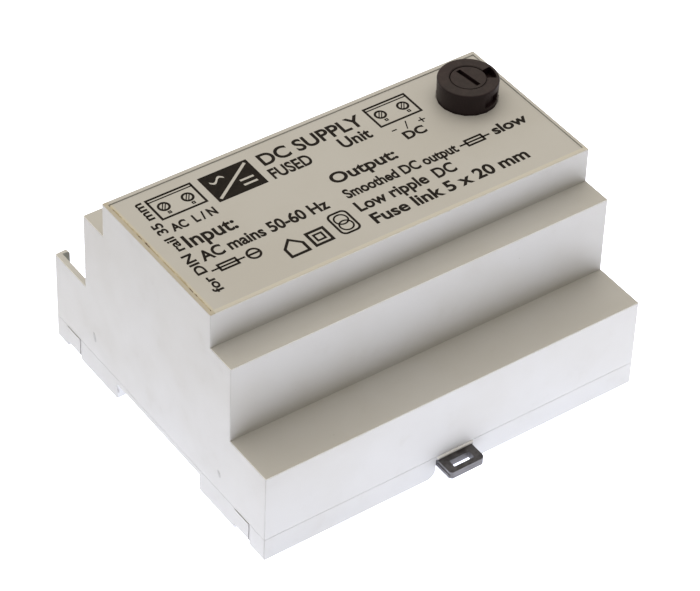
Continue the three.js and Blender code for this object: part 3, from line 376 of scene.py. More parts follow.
def capacitor_sleeve(bottom):
    """Dark-blue shrink sleeve with a grey polarity stripe, bare metal on the lid and on the leads."""
    g = Graph("capacitor_sleeve")
    wrinkles = g.noise(0.0012, detail=3, stretch=(1.0, 1.0, 0.4))
    colour = g.blend(wrinkles, 0.3, 0.7, (0.012, 0.026, 0.075), (0.018, 0.036, 0.098))
    stripe = g.span(g.facing(1), -0.955, -0.965)
    colour = g.tint(colour, stripe, 0.85, (0.42, 0.43, 0.45))
    lead = g.span(g.axis(2), bottom, bottom - 0.0001)
    lid = g.math("MAXIMUM", g.span(g.facing(2), 0.8, 0.95), lead)
    colour = g.mix(lid, colour, (0.62, 0.62, 0.63))
    normal = g.bump(wrinkles, 0.00003, 0.4)
    g.feed(g.shader.inputs["Metallic"], g.times(lid, 0.95))
    return g.finish(colour, g.span(lid, 0.0, 1.0, 0.22, 0.36), normal)


def moulded_epoxy(bottom):
    """The rectifier's black epoxy, matt with a faint speckle, on tinned leads."""
    g = Graph("rectifier_epoxy")
    speck = g.noise(0.0004, detail=4, roughness=0.7)
    colour = g.blend(speck, 0.4, 0.8, (0.018, 0.018, 0.019), (0.042, 0.042, 0.044))
    lead = g.span(g.axis(2), bottom, bottom - 0.0001)
    colour = g.mix(lead, colour, (0.6, 0.59, 0.57))
    g.feed(g.shader.inputs["Metallic"], lead)
    normal = g.bump(speck, 0.00002, 0.8)
    return g.finish(colour, g.vary(speck, 0.45, 0.62), normal)


def plated_steel():
    """Zinc-plated steel: bluish, with fine machining marks, dulled patches and painted shade in its crevices."""
    g = Graph("plated_steel")
    cloud = g.noise(0.0024, detail=5, roughness=0.65)
    colour = g.blend(cloud, 0.35, 0.7, (0.56, 0.575, 0.6), (0.43, 0.43, 0.42))
    # Painted shade: crevices narrower than 0.6 mm are darkened nearly to black.
    crevice = g.crevice(0.0006)
    colour = g.mix(crevice, (0.1, 0.095, 0.088), colour)
    lines = g.noise(0.00016, detail=3, stretch=(1.0, 1.0, 6.0))
    normal = g.bump(lines, 0.000014, 0.5)
    return g.finish(colour, g.vary(cloud, 0.22, 0.4), normal, Metallic=1.0)


def contact_brass():
    """Nickel-washed brass, a little tarnished."""
    g = Graph("contact_brass")
    cloud = g.noise(0.0016, detail=5, roughness=0.65)
    colour = g.blend(cloud, 0.35, 0.7, (0.66, 0.5, 0.23), (0.4, 0.27, 0.11))
    normal = g.grain(0.0002, 3, 0.000012, 0.5)
    return g.finish(colour, g.vary(cloud, 0.22, 0.42), normal, Metallic=1.0)


def fuse_glass():
    """Drawn glass tube with faint streaks along its length."""
    g = Graph("fuse_glass")
    streaks = g.noise(0.0005, detail=2, stretch=(1.0, 1.0, 0.06))
    colour = g.blend(streaks, 0.4, 0.7, (0.9, 0.95, 0.94), (0.8, 0.87, 0.86))
    normal = g.bump(streaks, 0.00001, 0.3)
    roughness = g.vary(streaks, 0.03, 0.07)
    return g.finish(colour, roughness, normal, Transmission_Weight=0.85, IOR=1.5, Alpha=0.6)


def glowing_table():
    """A white light table: pale and matt, brightest around the object and dimmer far away."""
    g = Graph("studio_floor")
    tooth = g.noise(0.002, detail=3)
    colour = g.blend(tooth, 0.3, 0.7, (0.78, 0.78, 0.78), (0.8, 0.8, 0.8))
    shrink = 1.3  # the glow fades sooner across the rail than along it
    ends = {0: g.stretched((1.0, shrink, 1.0)), 1: (GLOW_CENTRE[0], GLOW_CENTRE[1] * shrink, 0.0)}
    distance = g.add("VectorMath", ends, operation="DISTANCE").outputs["Value"]
    glow = g.span(distance, 0.07, 0.46, *TABLE_GLOW)
    g.feed(g.shader.inputs["Emission Strength"], glow)
    return g.finish(
        colour, 0.9, g.bump(tooth, 0.00002, 0.2), Specular_IOR_Level=0.1,
        Emission_Color=(0.81, 0.845, 0.965, 1.0),
    )


# ---- mesh tools

def new_object(name, mesh):
    obj = bpy.data.objects.new(name, mesh)
    bpy.context.scene.collection.objects.link(obj)
    return obj


def mesh_from(bm, name):
    bmesh.ops.recalc_face_normals(bm, faces=bm.faces)
    mesh = bpy.data.meshes.new(name)
    bm.to_mesh(mesh)
    bm.free()
    return mesh


def cad_copy(node):
    """The CAD node's surface as a clean mesh: shared corners merged and flat regions made one face."""
    bm = bmesh.new()
    bm.from_mesh(NODES[node].data)
    bmesh.ops.remove_doubles(bm, verts=bm.verts, dist=SAME_PLACE)
    bmesh.ops.dissolve_limit(bm, angle_limit=FLAT_ANGLE, verts=bm.verts, edges=bm.edges)
    return bm


def round_edges(bm, width, segments, least_length, pick=None, clamp=True):
    """Rounds the edges that are long enough and sharp enough, and that pick accepts. Sizes in mm."""
    chosen = [
        edge for edge in bm.edges
        if len(edge.link_faces) == 2 and edge.calc_length() >= least_length * MM
        and edge.calc_face_angle(0.0) >= SHARP_ANGLE and (pick is None or pick(edge))
    ]
    bmesh.ops.bevel(
        bm, geom=chosen, offset=width * MM, offset_type="OFFSET", segments=segments, profile=0.5,
        affect="EDGES", clamp_overlap=clamp,
    )


def lathe(profile, segments, x=0.0, y=0.0):
    """A closed solid turned about an upright axis, from a profile of (radius, height). Sizes in mm."""
    bm = bmesh.new()
    origin = Vector((x * MM, y * MM, 0))
    rings = []
    for radius, height in profile:
        ring = []
        for step in range(segments if radius else 1):
            turn = 2 * math.pi * step / segments
            offset = Vector((radius * math.cos(turn), radius * math.sin(turn), height)) * MM
            ring.append(bm.verts.new(origin + offset))
        rings.append(ring)
    pairs = list(zip(rings, rings[1:]))
    if profile[0][0] and profile[-1][0]:
        pairs.append((rings[-1], rings[0]))
    for lower, upper in pairs:
        for step in range(segments):
            after = (step + 1) % segments
            corners = [lower[step % len(lower)], lower[after % len(lower)],
                       upper[after % len(upper)], upper[step % len(upper)]]
            unique = list(dict.fromkeys(corners))
            if len(unique) > 2:
                bm.faces.new(unique)
    return bm


def skin(loops, capped):
    """A closed mesh over loops of corners in mm, all as long. It has end caps, or closes on itself."""
    bm = bmesh.new()
    rings = [[bm.verts.new(Vector(corner) * MM) for corner in loop] for loop in loops]
    pairs = list(zip(rings, rings[1:]))
    if capped:
        bm.faces.new(rings[0][::-1])
        bm.faces.new(rings[-1])
    else:
        pairs.append((rings[-1], rings[0]))
    for lower, upper in pairs:
        for i in range(len(lower)):
            j = (i + 1) % len(lower)
            bm.faces.new((lower[i], lower[j], upper[j], upper[i]))
    return bm


def raised(points, height):
    return [(u, v, height) for u, v in points]


def prism(points, low, high):
    """A closed upright prism on an outline in mm."""
    return skin([raised(points, low), raised(points, high)], capped=True)


def band(outer, inner, low, high):
    """A closed upright ring between two outlines in mm that have the same number of points."""
    corners = ((outer, low), (outer, high), (inner, high), (inner, low))
    return skin([raised(points, height) for points, height in corners], capped=False)


def rectangle(left, front, right, rear):
    return [(left, front), (right, front), (right, rear), (left, rear)]


def block(low, high):
    """A closed box between two corners in mm."""
    return prism(rectangle(low[0], low[1], high[0], high[1]), low[2], high[2])


def arc(centre, radius, start, end, steps):
    """Points on an arc in mm, with its angles in degrees."""
    turns = [math.radians(start + (end - start) * i / steps) for i in range(steps + 1)]
    return [(centre[0] + radius * math.cos(t), centre[1] + radius * math.sin(t)) for t in turns]


def merged(parts):
    """Several separate solids as one mesh."""
    whole = bmesh.new()
    for bm in parts:
        mesh = mesh_from(bm, "merged_part")
        whole.from_mesh(mesh)
        bpy.data.meshes.remove(mesh)
    return whole


def word_mesh(text, boldness):
    """Words in the built-in font, one unit high and one unit thick."""
    curve = bpy.data.curves.new("lettering", "FONT")
    curve.body = text
    curve.resolution_u = 5
    curve.offset = boldness
    curve.extrude = 0.5
    source = new_object("lettering", curve)
    bm = bmesh.new()
    bm.from_mesh(source.evaluated_get(bpy.context.evaluated_depsgraph_get()).to_mesh())
    bpy.data.objects.remove(source)
    bmesh.ops.remove_doubles(bm, verts=bm.verts, dist=1e-5)
    return bm


def carve(bm, *tools, operation="DIFFERENCE"):
    """The solid bm with the tools cut away or added, as a new bmesh."""
    target = new_object("carve_target", mesh_from(bm, "carve_target"))
    cutters = [new_object("carve_tool", mesh_from(tool, "carve_tool")) for tool in tools]
    for cutter in cutters:
        modifier = target.modifiers.new("carve", "BOOLEAN")
        modifier.object = cutter
        modifier.operation = operation
        modifier.solver = "EXACT"
    depsgraph = bpy.context.evaluated_depsgraph_get()
    result = bmesh.new()
    result.from_mesh(target.evaluated_get(depsgraph).to_mesh())
    for obj in (target, *cutters):
        bpy.data.objects.remove(obj)
    bmesh.ops.remove_doubles(result, verts=result.verts, dist=1e-6)
    return result


def piece(bm, node, angle=35):
    """A finished visible piece that stands for a CAD node and moves with it."""
    mesh = mesh_from(bm, node)
    mesh.materials.append(MATERIAL[SLOT_OF[node]])
    mesh.polygons.foreach_set("use_smooth", [True] * len(mesh.polygons))
    mesh.set_sharp_from_angle(angle=math.radians(angle))
    obj = new_object(f"{node}_shell", mesh)
    weighted = obj.modifiers.new("weighted_normal", "WEIGHTED_NORMAL")
    weighted.keep_sharp = True
    weighted.weight = 60
    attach(obj, BODY_OF[node])
    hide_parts(node)
    return obj


def each(start, build, *sizes):
    """Builds every node whose name starts like this."""
    for node in NODES:
        if node.startswith(start):
            build(node, *sizes)


def extra(name, parts, material, node):
    """A finished piece that the CAD model doesn't have, on the same body as a node."""
    obj = new_object(name, mesh_from(merged(parts), name))
    obj.data.materials.append(material)
    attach(obj, BODY_OF[node])


def refined(node, width, segments=2, least_length=0.6, pick=None):
    """A CAD node's shape with its edges rounded, as a finished piece."""
    bm = cad_copy(node)
    round_edges(bm, width, segments, least_length, pick)
    piece(bm, node)


# ---- sizes taken from the frame, in mm

def box_mm(node):
    """A CAD node's lowest and highest corners, in mm."""
    low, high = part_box(node)
    return Vector(low) / MM, Vector(high) / MM


LABEL_LOW, LABEL_HIGH = box_mm("label_plate")
TRAY_LOW, TRAY_HIGH = box_mm("base_tray")
FOOT_HEIGHT = 6.4  # from the feet up to the seam between the housing's two mouldings
SEAM = TRAY_LOW.z + FOOT_HEIGHT
CATCH_ROWS = (-35.95, 37.1)  # where along Y the catches are
CATCH_REACH = 3.3  # half the width of the catch's notch, with a little more
LATCH_REACH = 8.2  # half the width of the rounded mouth of the latch's channel
CAN_BOTTOM = box_mm("circuit_board")[1].z + 0.2
EPOXY_BOTTOM = box_mm("circuit_board")[1].z + 2.5


# ---- material of each slot

MATERIAL = {
    "housing_plastic": housing_plastic(*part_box("label_plate")[0].xy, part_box("upper_housing")[1].z),
    "label_film": label_film(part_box("label_plate")[0].x),
    "latch_plastic": dark_plastic((0.0125, 0.0088, 0.0088), (0.23, 0.225, 0.24), 0.4),
    "holder_plastic": turned_plastic(FUSE_AXIS),
    "terminal_plastic": coloured_plastic("terminal_plastic", (0.05, 0.215, 0.085)),
    "board_laminate": board_laminate(),
    "bobbin_plastic": coloured_plastic("bobbin_plastic", (0.022, 0.022, 0.024), 0.5),
    "winding_tape": winding_tape(),
    "black_insulation": insulation("black_insulation", (0.012, 0.012, 0.012)),
    "blue_insulation": insulation("blue_insulation", (0.012, 0.045, 0.26)),
    "red_insulation": insulation("red_insulation", (0.36, 0.014, 0.01)),
    "capacitor_sleeve": capacitor_sleeve(CAN_BOTTOM * MM),
    "rectifier_epoxy": moulded_epoxy(EPOXY_BOTTOM * MM),
    "lamination_steel": laminations(),
    "winding_copper": wound_copper(),
    "plated_steel": plated_steel(),
    "contact_brass": contact_brass(),
    "fuse_glass": fuse_glass(),
}


def paint_cad_nodes():
    for node, obj in NODES.items():
        obj.data.materials.clear()
        obj.data.materials.append(MATERIAL[SLOT_OF[node]])


# ---- housing

def on_outside(place):
    """True on the end walls, and on the front and rear faces of the lowest step."""
    return abs(place.x) > -end_wall_x(place.z) - 0.03 or abs(place.y) > TRAY_HIGH.y - 0.03


def outside_edge(edge):
    """True for outward corners on the outside, except along the seam, at the catches and at the latch."""
    ends = [corner.co / MM for corner in edge.verts]
    if max(abs(end.z - SEAM) for end in ends) < 0.4:
        return False
    if min(abs(end.x) for end in ends) < LATCH_REACH:
        return False
    if any(max(abs(end.y - row) for end in ends) < CATCH_REACH for row in CATCH_ROWS):
        return False
    return edge.is_convex and all(on_outside(end) for end in ends)


def raise_corners(bm, height, amount):
    """Lifts the corners that lie at one height, in mm."""
    for corner in bm.verts:
        if abs(corner.co.z / MM - height) < 0.02:
            corner.co.z += amount * MM


def end_wall_x(height):
    """Where the left end wall's face is at a height, in mm: it leans in as it rises."""
    lean = 0.0111
    return TRAY_LOW.x + lean * (height - TRAY_LOW.z)


def moulding_mark(y, height, half_width, half_height, slant):
    """A low oval scar on the left end wall, at a height above the feet."""
    proud, sides = 0.05, 16
    outline = []
    for turn in (math.tau * i / sides for i in range(sides)):
        up = math.sin(turn)
        across = y + half_width * math.cos(turn) + slant * up
        outline.append((across, TRAY_LOW.z + height + half_height * up))
    faces = [[(end_wall_x(z) + shift, v, z) for v, z in outline] for shift in (0.1, -proud)]
    return skin(faces, capped=True)


def build_mouldings():
    """The two mouldings, with the CAD's gaps at the seam and over the catches nearly closed."""
    for node, height, amount in (("upper_housing", SEAM - 0.15, 0.15), ("base_tray", SEAM - 0.1, 0.12)):
        bm = cad_copy(node)
        raise_corners(bm, height, amount)
        round_edges(bm, 0.28, 4, 1.2, outside_edge, clamp=False)
        piece(bm, node, angle=26)


def build_housing():
    build_mouldings()
    marks = [
        moulding_mark(27.4, 12.4, 0.5, 1.3, 0.35),
        moulding_mark(-26.4, 11.9, 0.5, 0.9, 0.35),
        moulding_mark(17.0, 3.1, 0.4, 0.5, 0.1),
    ]
    extra("moulding_marks", marks, scarred_plastic(), "upper_housing")


# ---- label and its print

PRINT_LOW = LABEL_HIGH.z - 0.02
PRINT_HIGH = LABEL_HIGH.z + 0.03
THIN = 0.58  # width of a drawn line, in mm


def printed(points):
    return prism(points, PRINT_LOW, PRINT_HIGH)


def printed_band(outer, inner):
    return band(outer, inner, PRINT_LOW, PRINT_HIGH)


def stroke(start, end, width):
    """The outline of a straight line of some width."""
    a, b = Vector(start), Vector(end)
    side = (b - a).normalized().orthogonal() * width / 2
    return [tuple(p) for p in (a - side, b - side, b + side, a + side)]


def printed_line(start, end, width=THIN):
    return printed(stroke(start, end, width))


def printed_frame(left, front, right, rear, width=THIN):
    outer = rectangle(left, front, right, rear)
    return printed_band(outer, rectangle(left + width, front + width, right - width, rear - width))


def printed_ring(centre, radius, width=THIN):
    return printed_band(*(arc(centre, radius + side * width / 2, 0, 360, 40)[:-1] for side in (1, -1)))


EXTRA_STROKE = 0.14  # how far the ink spreads on each side of a letter's strokes, in mm
TURNED_STROKE = 0.09  # the same for the small turned lettering
FONT_CAP = max(corner.co.y for corner in word_mesh("H", 0.0).verts)


def lettering(text, left, right, baseline, cap_height, spread=EXTRA_STROKE):
    """Generic words, fitted between left and right. All sizes in mm."""
    bm = word_mesh(text, spread * FONT_CAP / cap_height)
    first = min(corner.co.x for corner in bm.verts)
    last = max(corner.co.x for corner in bm.verts)
    for corner in bm.verts:
        x = left + (corner.co.x - first) / (last - first) * (right - left)
        y = baseline + corner.co.y / FONT_CAP * cap_height
        z = PRINT_HIGH if corner.co.z > 0 else PRINT_LOW
        corner.co = Vector((x, y, z)) * MM
    return bm


def turned_lettering(text, front, rear, baseline, cap_height):
    """Lettering that reads from front to rear, with its baseline at one X."""
    bm = lettering(text, front, rear, 0.0, cap_height, TURNED_STROKE)
    for corner in bm.verts:
        x, y, z = corner.co
        corner.co = Vector((baseline * MM - y, x, z))
    return bm


def slotted_head(centre, radius):
    """A screw head seen from above, its slot drawn as two lines."""
    tilt = math.radians(55)
    along = Vector((math.cos(tilt), math.sin(tilt)))
    across = along.orthogonal() * 0.3
    marks = [printed_ring(centre, radius)]
    for side in (-1, 1):
        half = along * (radius - 0.1)
        middle = Vector(centre) + across * side
        marks.append(printed_line(middle - half, middle + half, 0.27))
    return marks


def terminal_pictogram(left, right, rear, screws):
    """A two-pole screw terminal seen from above."""
    front = rear - 8.0
    divide = printed_line((left, rear - 1.2), (right, rear - 1.2), 0.36)
    marks = [printed_frame(left, front, right, rear), divide]
    for centre in screws:
        marks += slotted_head(centre, 1.3)
        x, y = centre[0] + 0.15, centre[1] - 2.35
        marks.append(printed_frame(x - 0.45, y - 0.45, x + 0.45, y + 0.45, 0.3))
    return marks


def converter_symbol(left, front, right, rear):
    """A dark field with the general symbol of a rectifier left clear in it."""
    low, high = PRINT_LOW - 1, PRINT_HIGH + 1
    width, height = right - left, rear - front
    diagonal = stroke((left + 0.9, front + 0.9), (right - 0.9, rear - 0.9), 0.75)
    steps = 20
    middle_x, middle_y = left + 0.27 * width, front + 0.72 * height
    wave = [(middle_x + 2.0 * t, middle_y + 0.75 * math.sin(math.pi * t))
            for t in (2 * i / steps - 1 for i in range(steps + 1))]
    tilde = [(x, y + 0.36) for x, y in wave] + [(x, y - 0.36) for x, y in reversed(wave)]
    bars = []
    for y in (front + 0.22 * height, front + 0.4 * height):
        bars.append(rectangle(left + 0.6 * width, y - 0.34, left + 0.88 * width, y + 0.34))
    field = printed(rectangle(left, front, right, rear))
    return carve(field, *(prism(points, low, high) for points in (diagonal, tilde, *bars)))


def fuse_symbol(left, right, middle, lead):
    half = 1.3
    return [
        printed_frame(left, middle - half, right, middle + half),
        printed_line((left - lead, middle), (right + lead, middle), 0.5),
    ]


def indoor_symbol(left, front, right, rear, width=0.75):
    """A plain house outline: for use indoors."""
    middle = (left + right) / 2
    eaves = front + 0.55 * (rear - front)
    outer = [(left, front), (right, front), (right, eaves), (middle, rear), (left, eaves)]
    slope = 1.3 * width
    wall_top = eaves - 0.3 * width
    inner = [(left + width, front + width), (right - width, front + width),
             (right - width, wall_top), (middle, rear - slope), (left + width, wall_top)]
    return printed_band(outer, inner)


def double_square(left, front, size):
    right, rear = left + size, front + size
    inset = 1.35
    return [
        printed_frame(left, front, right, rear, 0.75),
        printed_frame(left + inset, front + inset, right - inset, rear - inset, 0.55),
    ]


def transformer_symbol(centre_x, front, rear):
    """Two linked rings in a rounded frame: a transformer."""
    half = 2.75
    middle = (front + rear) / 2
    outer = rounded_outline(centre_x, middle, half, (rear - front) / 2, 1.6)
    inner = rounded_outline(centre_x, middle, half - THIN, (rear - front) / 2 - THIN, 1.6 - THIN)
    return [
        printed_band(outer, inner),
        printed_ring((centre_x, middle + 1.1), 1.65, 0.44),
        printed_ring((centre_x, middle - 1.1), 1.65, 0.44),
    ]


def rounded_outline(x, y, half_x, half_y, radius, steps=8):
    points = []
    for sx, sy, start in ((1, 1, 0), (-1, 1, 90), (-1, -1, 180), (1, -1, 270)):
        corner = (x + sx * (half_x - radius), y + sy * (half_y - radius))
        points += arc(corner, radius, start, start + 90, steps)
    return points


def label_marks():
    marks = terminal_pictogram(-44, -31.6, 18.2, [(-41.1, 14.2), (-34.8, 14.1)])
    marks += terminal_pictogram(16.5, 28.7, 18.5, [(19.3, 14.7), (25.7, 14.6)])
    marks += fuse_symbol(-42.3, -37.1, -10.2, 1.8)
    marks += fuse_symbol(29.6, 34.8, -5.05, 1.7)
    marks += double_square(-20.2, -16.2, 5.3)
    marks += transformer_symbol(-10.2, -16.4, -8.6)
    marks += [
        converter_symbol(-29.7, 8.5, -16.4, 18.2),
        printed_ring((-33, -10.3), 1.6),
        printed_line((-34.4, -10.3), (-31.6, -10.3)),
        indoor_symbol(-26.9, -16.4, -21.4, -10.2),
        printed_line((17.9, 8.1), (19.3, 8.1), 0.36),
        printed_line((21.6, 6.9), (22.8, 9.6), 0.3),
        printed_line((25.4, 7.9), (27.3, 7.9), 0.36),
        printed_line((26.35, 6.95), (26.35, 8.85), 0.36),
    ]
    words = (
        # text, left, right, baseline, height of a capital
        ("DC SUPPLY", -14, 14.5, 13.8, 4),
        ("FUSED", -14.6, -3.6, 8.6, 3.5),
        ("Unit", 5, 13.4, 9, 3.5),
        ("AC  L / N", -43.8, -31.9, 5.6, 2.5),
        ("Input:", -43.8, -30.7, -1, 4.2),
        ("AC mains 50-60 Hz", -43.7, -9.6, -6.6, 3.3),
        ("DC", 19.3, 25.2, 3.7, 2.6),
        ("Output:", -4.3, 13.8, -0.5, 3.5),
        ("Smoothed DC output", -4.6, 27, -6.3, 3),
        ("slow", 37.6, 47.4, -6.1, 3),
        ("Low ripple", -4.9, 14.6, -11.6, 3.3),
        ("DC", 16.9, 22.6, -11.6, 3.3),
        ("Fuse link 5 x 20 mm", -4.2, 39.5, -17, 3.4),
    )
    marks += [lettering(*word) for word in words]
    marks.append(turned_lettering("for DIN rail 35 mm", -16.8, 18.2, -44.9, 2.4))
    return marks


def adhesive_bead():
    """Adhesive that has crept out and filled the gap along the left edge of the label."""
    draw = random.Random(7)
    gap = 0.35
    step = 0.45
    count = int((LABEL_HIGH.y - LABEL_LOW.y - 0.4) / step)
    inner, outer = [], []
    for i in range(count + 1):
        y = LABEL_LOW.y + 0.2 + i * step
        outer.append((LABEL_LOW.x - gap + draw.uniform(-0.12, 0.03), y))
        inner.append((LABEL_LOW.x + draw.uniform(-0.02, 0.16), y))
    return prism(outer + inner[::-1], LABEL_LOW.z + 0.02, LABEL_HIGH.z + 0.04)


def build_film():
    """The label's film, reaching nearer to the rim than the CAD film does, except at the left."""
    closer = 0.27
    bm = cad_copy("label_plate")
    for corner in bm.verts:
        x, y, z = corner.co / MM
        if y < LABEL_LOW.y + 0.1:
            corner.co.y -= closer * MM
        if y > LABEL_HIGH.y - 0.1:
            corner.co.y += closer * MM
        if x > LABEL_HIGH.x - 0.1:
            corner.co.x += closer * MM
    round_edges(bm, 0.06, 2, 3.0)
    piece(bm, "label_plate")


def build_label():
    build_film()
    extra("label_print", label_marks(), ink(), "label_plate")
    extra("label_adhesive", [adhesive_bead()], old_adhesive(), "label_plate")


# ---- rail latch

def build_latch():
    tab_end = box_mm("rail_latch")[0].y + 6.0

    def on_tab(edge):
        return all(corner.co.y / MM < tab_end for corner in edge.verts)

    refined("rail_latch", 0.28, 3, 0.8, on_tab)


# ---- fuse holder

HOLDER_PLACE = tuple(place / MM for place in FUSE_AXIS)
RING_RADIUS = 7.5
RING_BASE_RADIUS = 7.3
RING_HEIGHT = 6.05
MOUTH_RADIUS = 4.7
RING_BORE = 4.5
DISC_RADIUS = 4.3
DISC_DEPTH = 0.15  # from the ring's top down to the carrier's disc
FINE = 120  # sides of a round piece that shows


def sector(centre, inner, outer, start, end, steps=16):
    return arc(centre, outer, start, end, steps) + arc(centre, inner, end, start, steps)


def build_holder_body():
    x, y = HOLDER_PLACE
    low, high = box_mm("fuse_holder_body")
    panel = high.z - RING_HEIGHT
    barrel, bore, groove, stem_hole = 6.1, 3.95, 4.85, 1.5
    ledge = panel - 2.3
    groove_low, groove_high = panel - 15.6, panel - 12.4
    bore_bottom = panel - 24.6
    profile = [(stem_hole, low.z), (barrel - 1, low.z)]
    profile += [(barrel, low.z + 1), (barrel, panel), (RING_BASE_RADIUS - 0.1, panel)]
    profile += [(RING_BASE_RADIUS, panel + 0.1)]
    profile += arc((RING_RADIUS - 0.45, high.z - 0.45), 0.42, 2, 90, 6)
    profile += arc((MOUTH_RADIUS + 0.06, high.z - 0.09), 0.06, 90, 150, 3)
    profile += [(RING_BORE, high.z - DISC_DEPTH)]
    profile += [(RING_BORE, ledge), (bore, ledge), (bore, groove_high), (groove, groove_high)]
    profile += [(groove, groove_low), (bore, groove_low), (bore, bore_bottom), (stem_hole, bore_bottom)]
    body = lathe(profile, FINE, x, y)
    notch = prism(sector((x, y), RING_BORE - 1, RING_RADIUS - 0.8, -34.5, 5), high.z - 2.0, high.z + 1)
    recess = prism(sector((x, y), RING_RADIUS - 1.0, RING_RADIUS + 1, -92, -57), panel + 1.5, panel + 4.3)
    window = block((x - 1.6, y + bore, panel - 15.2), (x + 1.6, y + barrel + 2, panel - 12.8))
    piece(carve(body, notch, recess, window), "fuse_holder_body", 30)


def build_fuse_carrier():
    x, y = HOLDER_PLACE
    low, high = box_mm("fuse_carrier")
    panel = high.z - RING_HEIGHT + DISC_DEPTH
    sleeve, room, link_top = 3.6, 2.9, panel - 2.7
    profile = [(0, link_top), (room, link_top), (room, low.z), (sleeve, low.z), (sleeve, panel - 2)]
    profile += [(DISC_RADIUS, panel - 2)]
    profile += arc((DISC_RADIUS - 0.12, high.z - 0.12), 0.12, 0, 90, 4)
    profile += [(0, high.z)]
    carrier = lathe(profile, FINE, x, y)
    half_width, half_length, turn = 0.62, 3.6, math.radians(6.5)
    along = Vector((-math.sin(turn), math.cos(turn))) * half_length
    middle = Vector((x, y))
    slot = prism(stroke(middle - along, middle + along, 2 * half_width), high.z - 1.1, high.z + 1)
    piece(carve(carrier, slot), "fuse_carrier", 30)


def build_fuse_link():
    for node, way in (("fuse_cap_upper", -1), ("fuse_cap_lower", 1)):
        low, high = box_mm(node)
        closed, opened = (low.z, high.z)[::way]
        radius, wall = 2.6, 0.2
        profile = [(0, closed), (radius - 0.5, closed), (radius - 0.15, closed + 0.12 * way)]
        profile += [(radius, closed + 0.5 * way), (radius, opened - 0.15 * way)]
        profile += [(radius - wall / 2, opened), (radius - wall, opened)]
        profile += [(radius - wall, closed + 0.4 * way), (0, closed + 0.4 * way)]
        piece(lathe(profile, 64, *HOLDER_PLACE), node)
    low, high = box_mm("fuse_glass")
    piece(lathe(rectangle(1.9, low.z, 2.3, high.z), 64, *HOLDER_PLACE), "fuse_glass")
    low, high = box_mm("fuse_wire")
    radius, middle = 0.15, (low.z + high.z) / 2
    profile = [(0, low.z), (radius, low.z), (radius, middle - 0.5)]
    profile += arc((radius, middle), 0.5, -90, 90, 8)[1:-1]
    profile += [(radius, middle + 0.5), (radius, high.z), (0, high.z)]
    piece(lathe(profile, 24, *HOLDER_PLACE), "fuse_wire")


def build_fuse_holder():
    build_holder_body()
    build_fuse_carrier()
    build_fuse_link()
    refined("fuse_holder_nut", 0.3, 2, 1.5)
    for node in ("fuse_side_contact", "fuse_end_contact"):
        refined(node, 0.08, 2, 0.7)


# ---- screws, terminals and board

def thread(radius, low, high, pitch):
    """A screw thread's outline as rings, from low up to high."""
    depth = 0.55 * pitch
    count = int((high - low) / pitch)
    step = (high - low) / count
    points = []
    for turn in range(count):
        start = low + turn * step
        points += [(radius - depth, start), (radius, start + 0.5 * step), (radius, start + 0.62 * step)]
    return points + [(radius - depth, high)]


def build_screw(node, head_height, shank_radius, slot_width, pitch, threaded=1.0):
    """A cheese-head screw with its thread, standing in the CAD screw's place."""
    low, high = box_mm(node)
    middle = (low + high) / 2
    head = (high.y - low.y) / 2
    seat = high.z - head_height
    thread_top = low.z + 0.4 + (seat - 0.6 - low.z - 0.4) * threaded
    profile = [(0, low.z), (shank_radius - 0.35, low.z)]
    profile += thread(shank_radius, low.z + 0.35, thread_top, pitch)
    profile += [(shank_radius - 0.05, seat), (head - 0.1, seat), (head, seat + 0.1)]
    profile += arc((head - 0.35, high.z - 0.35), 0.35, 0, 90, 5)
    profile += [(0, high.z)]
    body = lathe(profile, 48, middle.x, middle.y)
    half = slot_width / 2
    bottom = seat + head_height * 0.55
    slot = block((low.x - 1, middle.y - half, bottom), (high.x + 1, middle.y + half, high.z + 1))
    piece(carve(body, slot), node, 28)


def build_terminals():
    for side in ("input", "output"):
        refined(f"{side}_terminal_block", 0.22, 3, 1.0)
    each("terminal_cage_", refined, 0.14, 2, 1.0)
    each("terminal_contact_", refined, 0.1, 2, 0.7)
    each("terminal_screw_", build_screw, 1.9, 1.3, 0.6, 0.5)


def build_capacitor(node):
    low, high = box_mm(node)
    middle = (low + high) / 2
    radius = (high.y - low.y) / 2
    seal = CAN_BOTTOM
    profile = [(0, seal), (radius - 0.9, seal)]
    profile += arc((radius - 0.5, seal + 0.5), 0.5, -90, 0, 4)
    profile += [(radius, seal + 2.5)]
    profile += arc((radius + 0.35, seal + 3.2), 0.75, 225, 135, 6)
    profile += [(radius, seal + 3.9)]
    profile += arc((radius - 0.6, high.z - 0.6), 0.6, 0, 80, 5)
    profile += [(radius - 1.0, high.z - 0.05), (radius - 1.15, high.z - 0.45), (0, high.z - 0.45)]
    can = lathe(profile, 72, middle.x, middle.y)
    lid = high.z - 0.45
    half, reach = 0.12, radius - 2.6
    scores = []
    for u, v in ((reach, half), (half, reach)):
        corner = (middle.x + u, middle.y + v, lid + 1)
        scores.append(block((middle.x - u, middle.y - v, lid - 0.15), corner))
    can = carve(can, *scores)
    lead = rectangle(0, low.z, 0.4, seal + 1)
    leads = [lathe(lead, 16, middle.x + side * 3.75, middle.y) for side in (-1, 1)]
    piece(carve(can, *leads, operation="UNION"), node)


def build_board():
    refined("circuit_board", 0.06, 1, 3.0)
    refined("bridge_rectifier", 0.2, 2, 1.2)
    each("board_screw_", build_screw, 1.7, 1.3, 0.7, 0.6)
    each("smoothing_capacitor_", build_capacitor)


# ---- transformer and leads

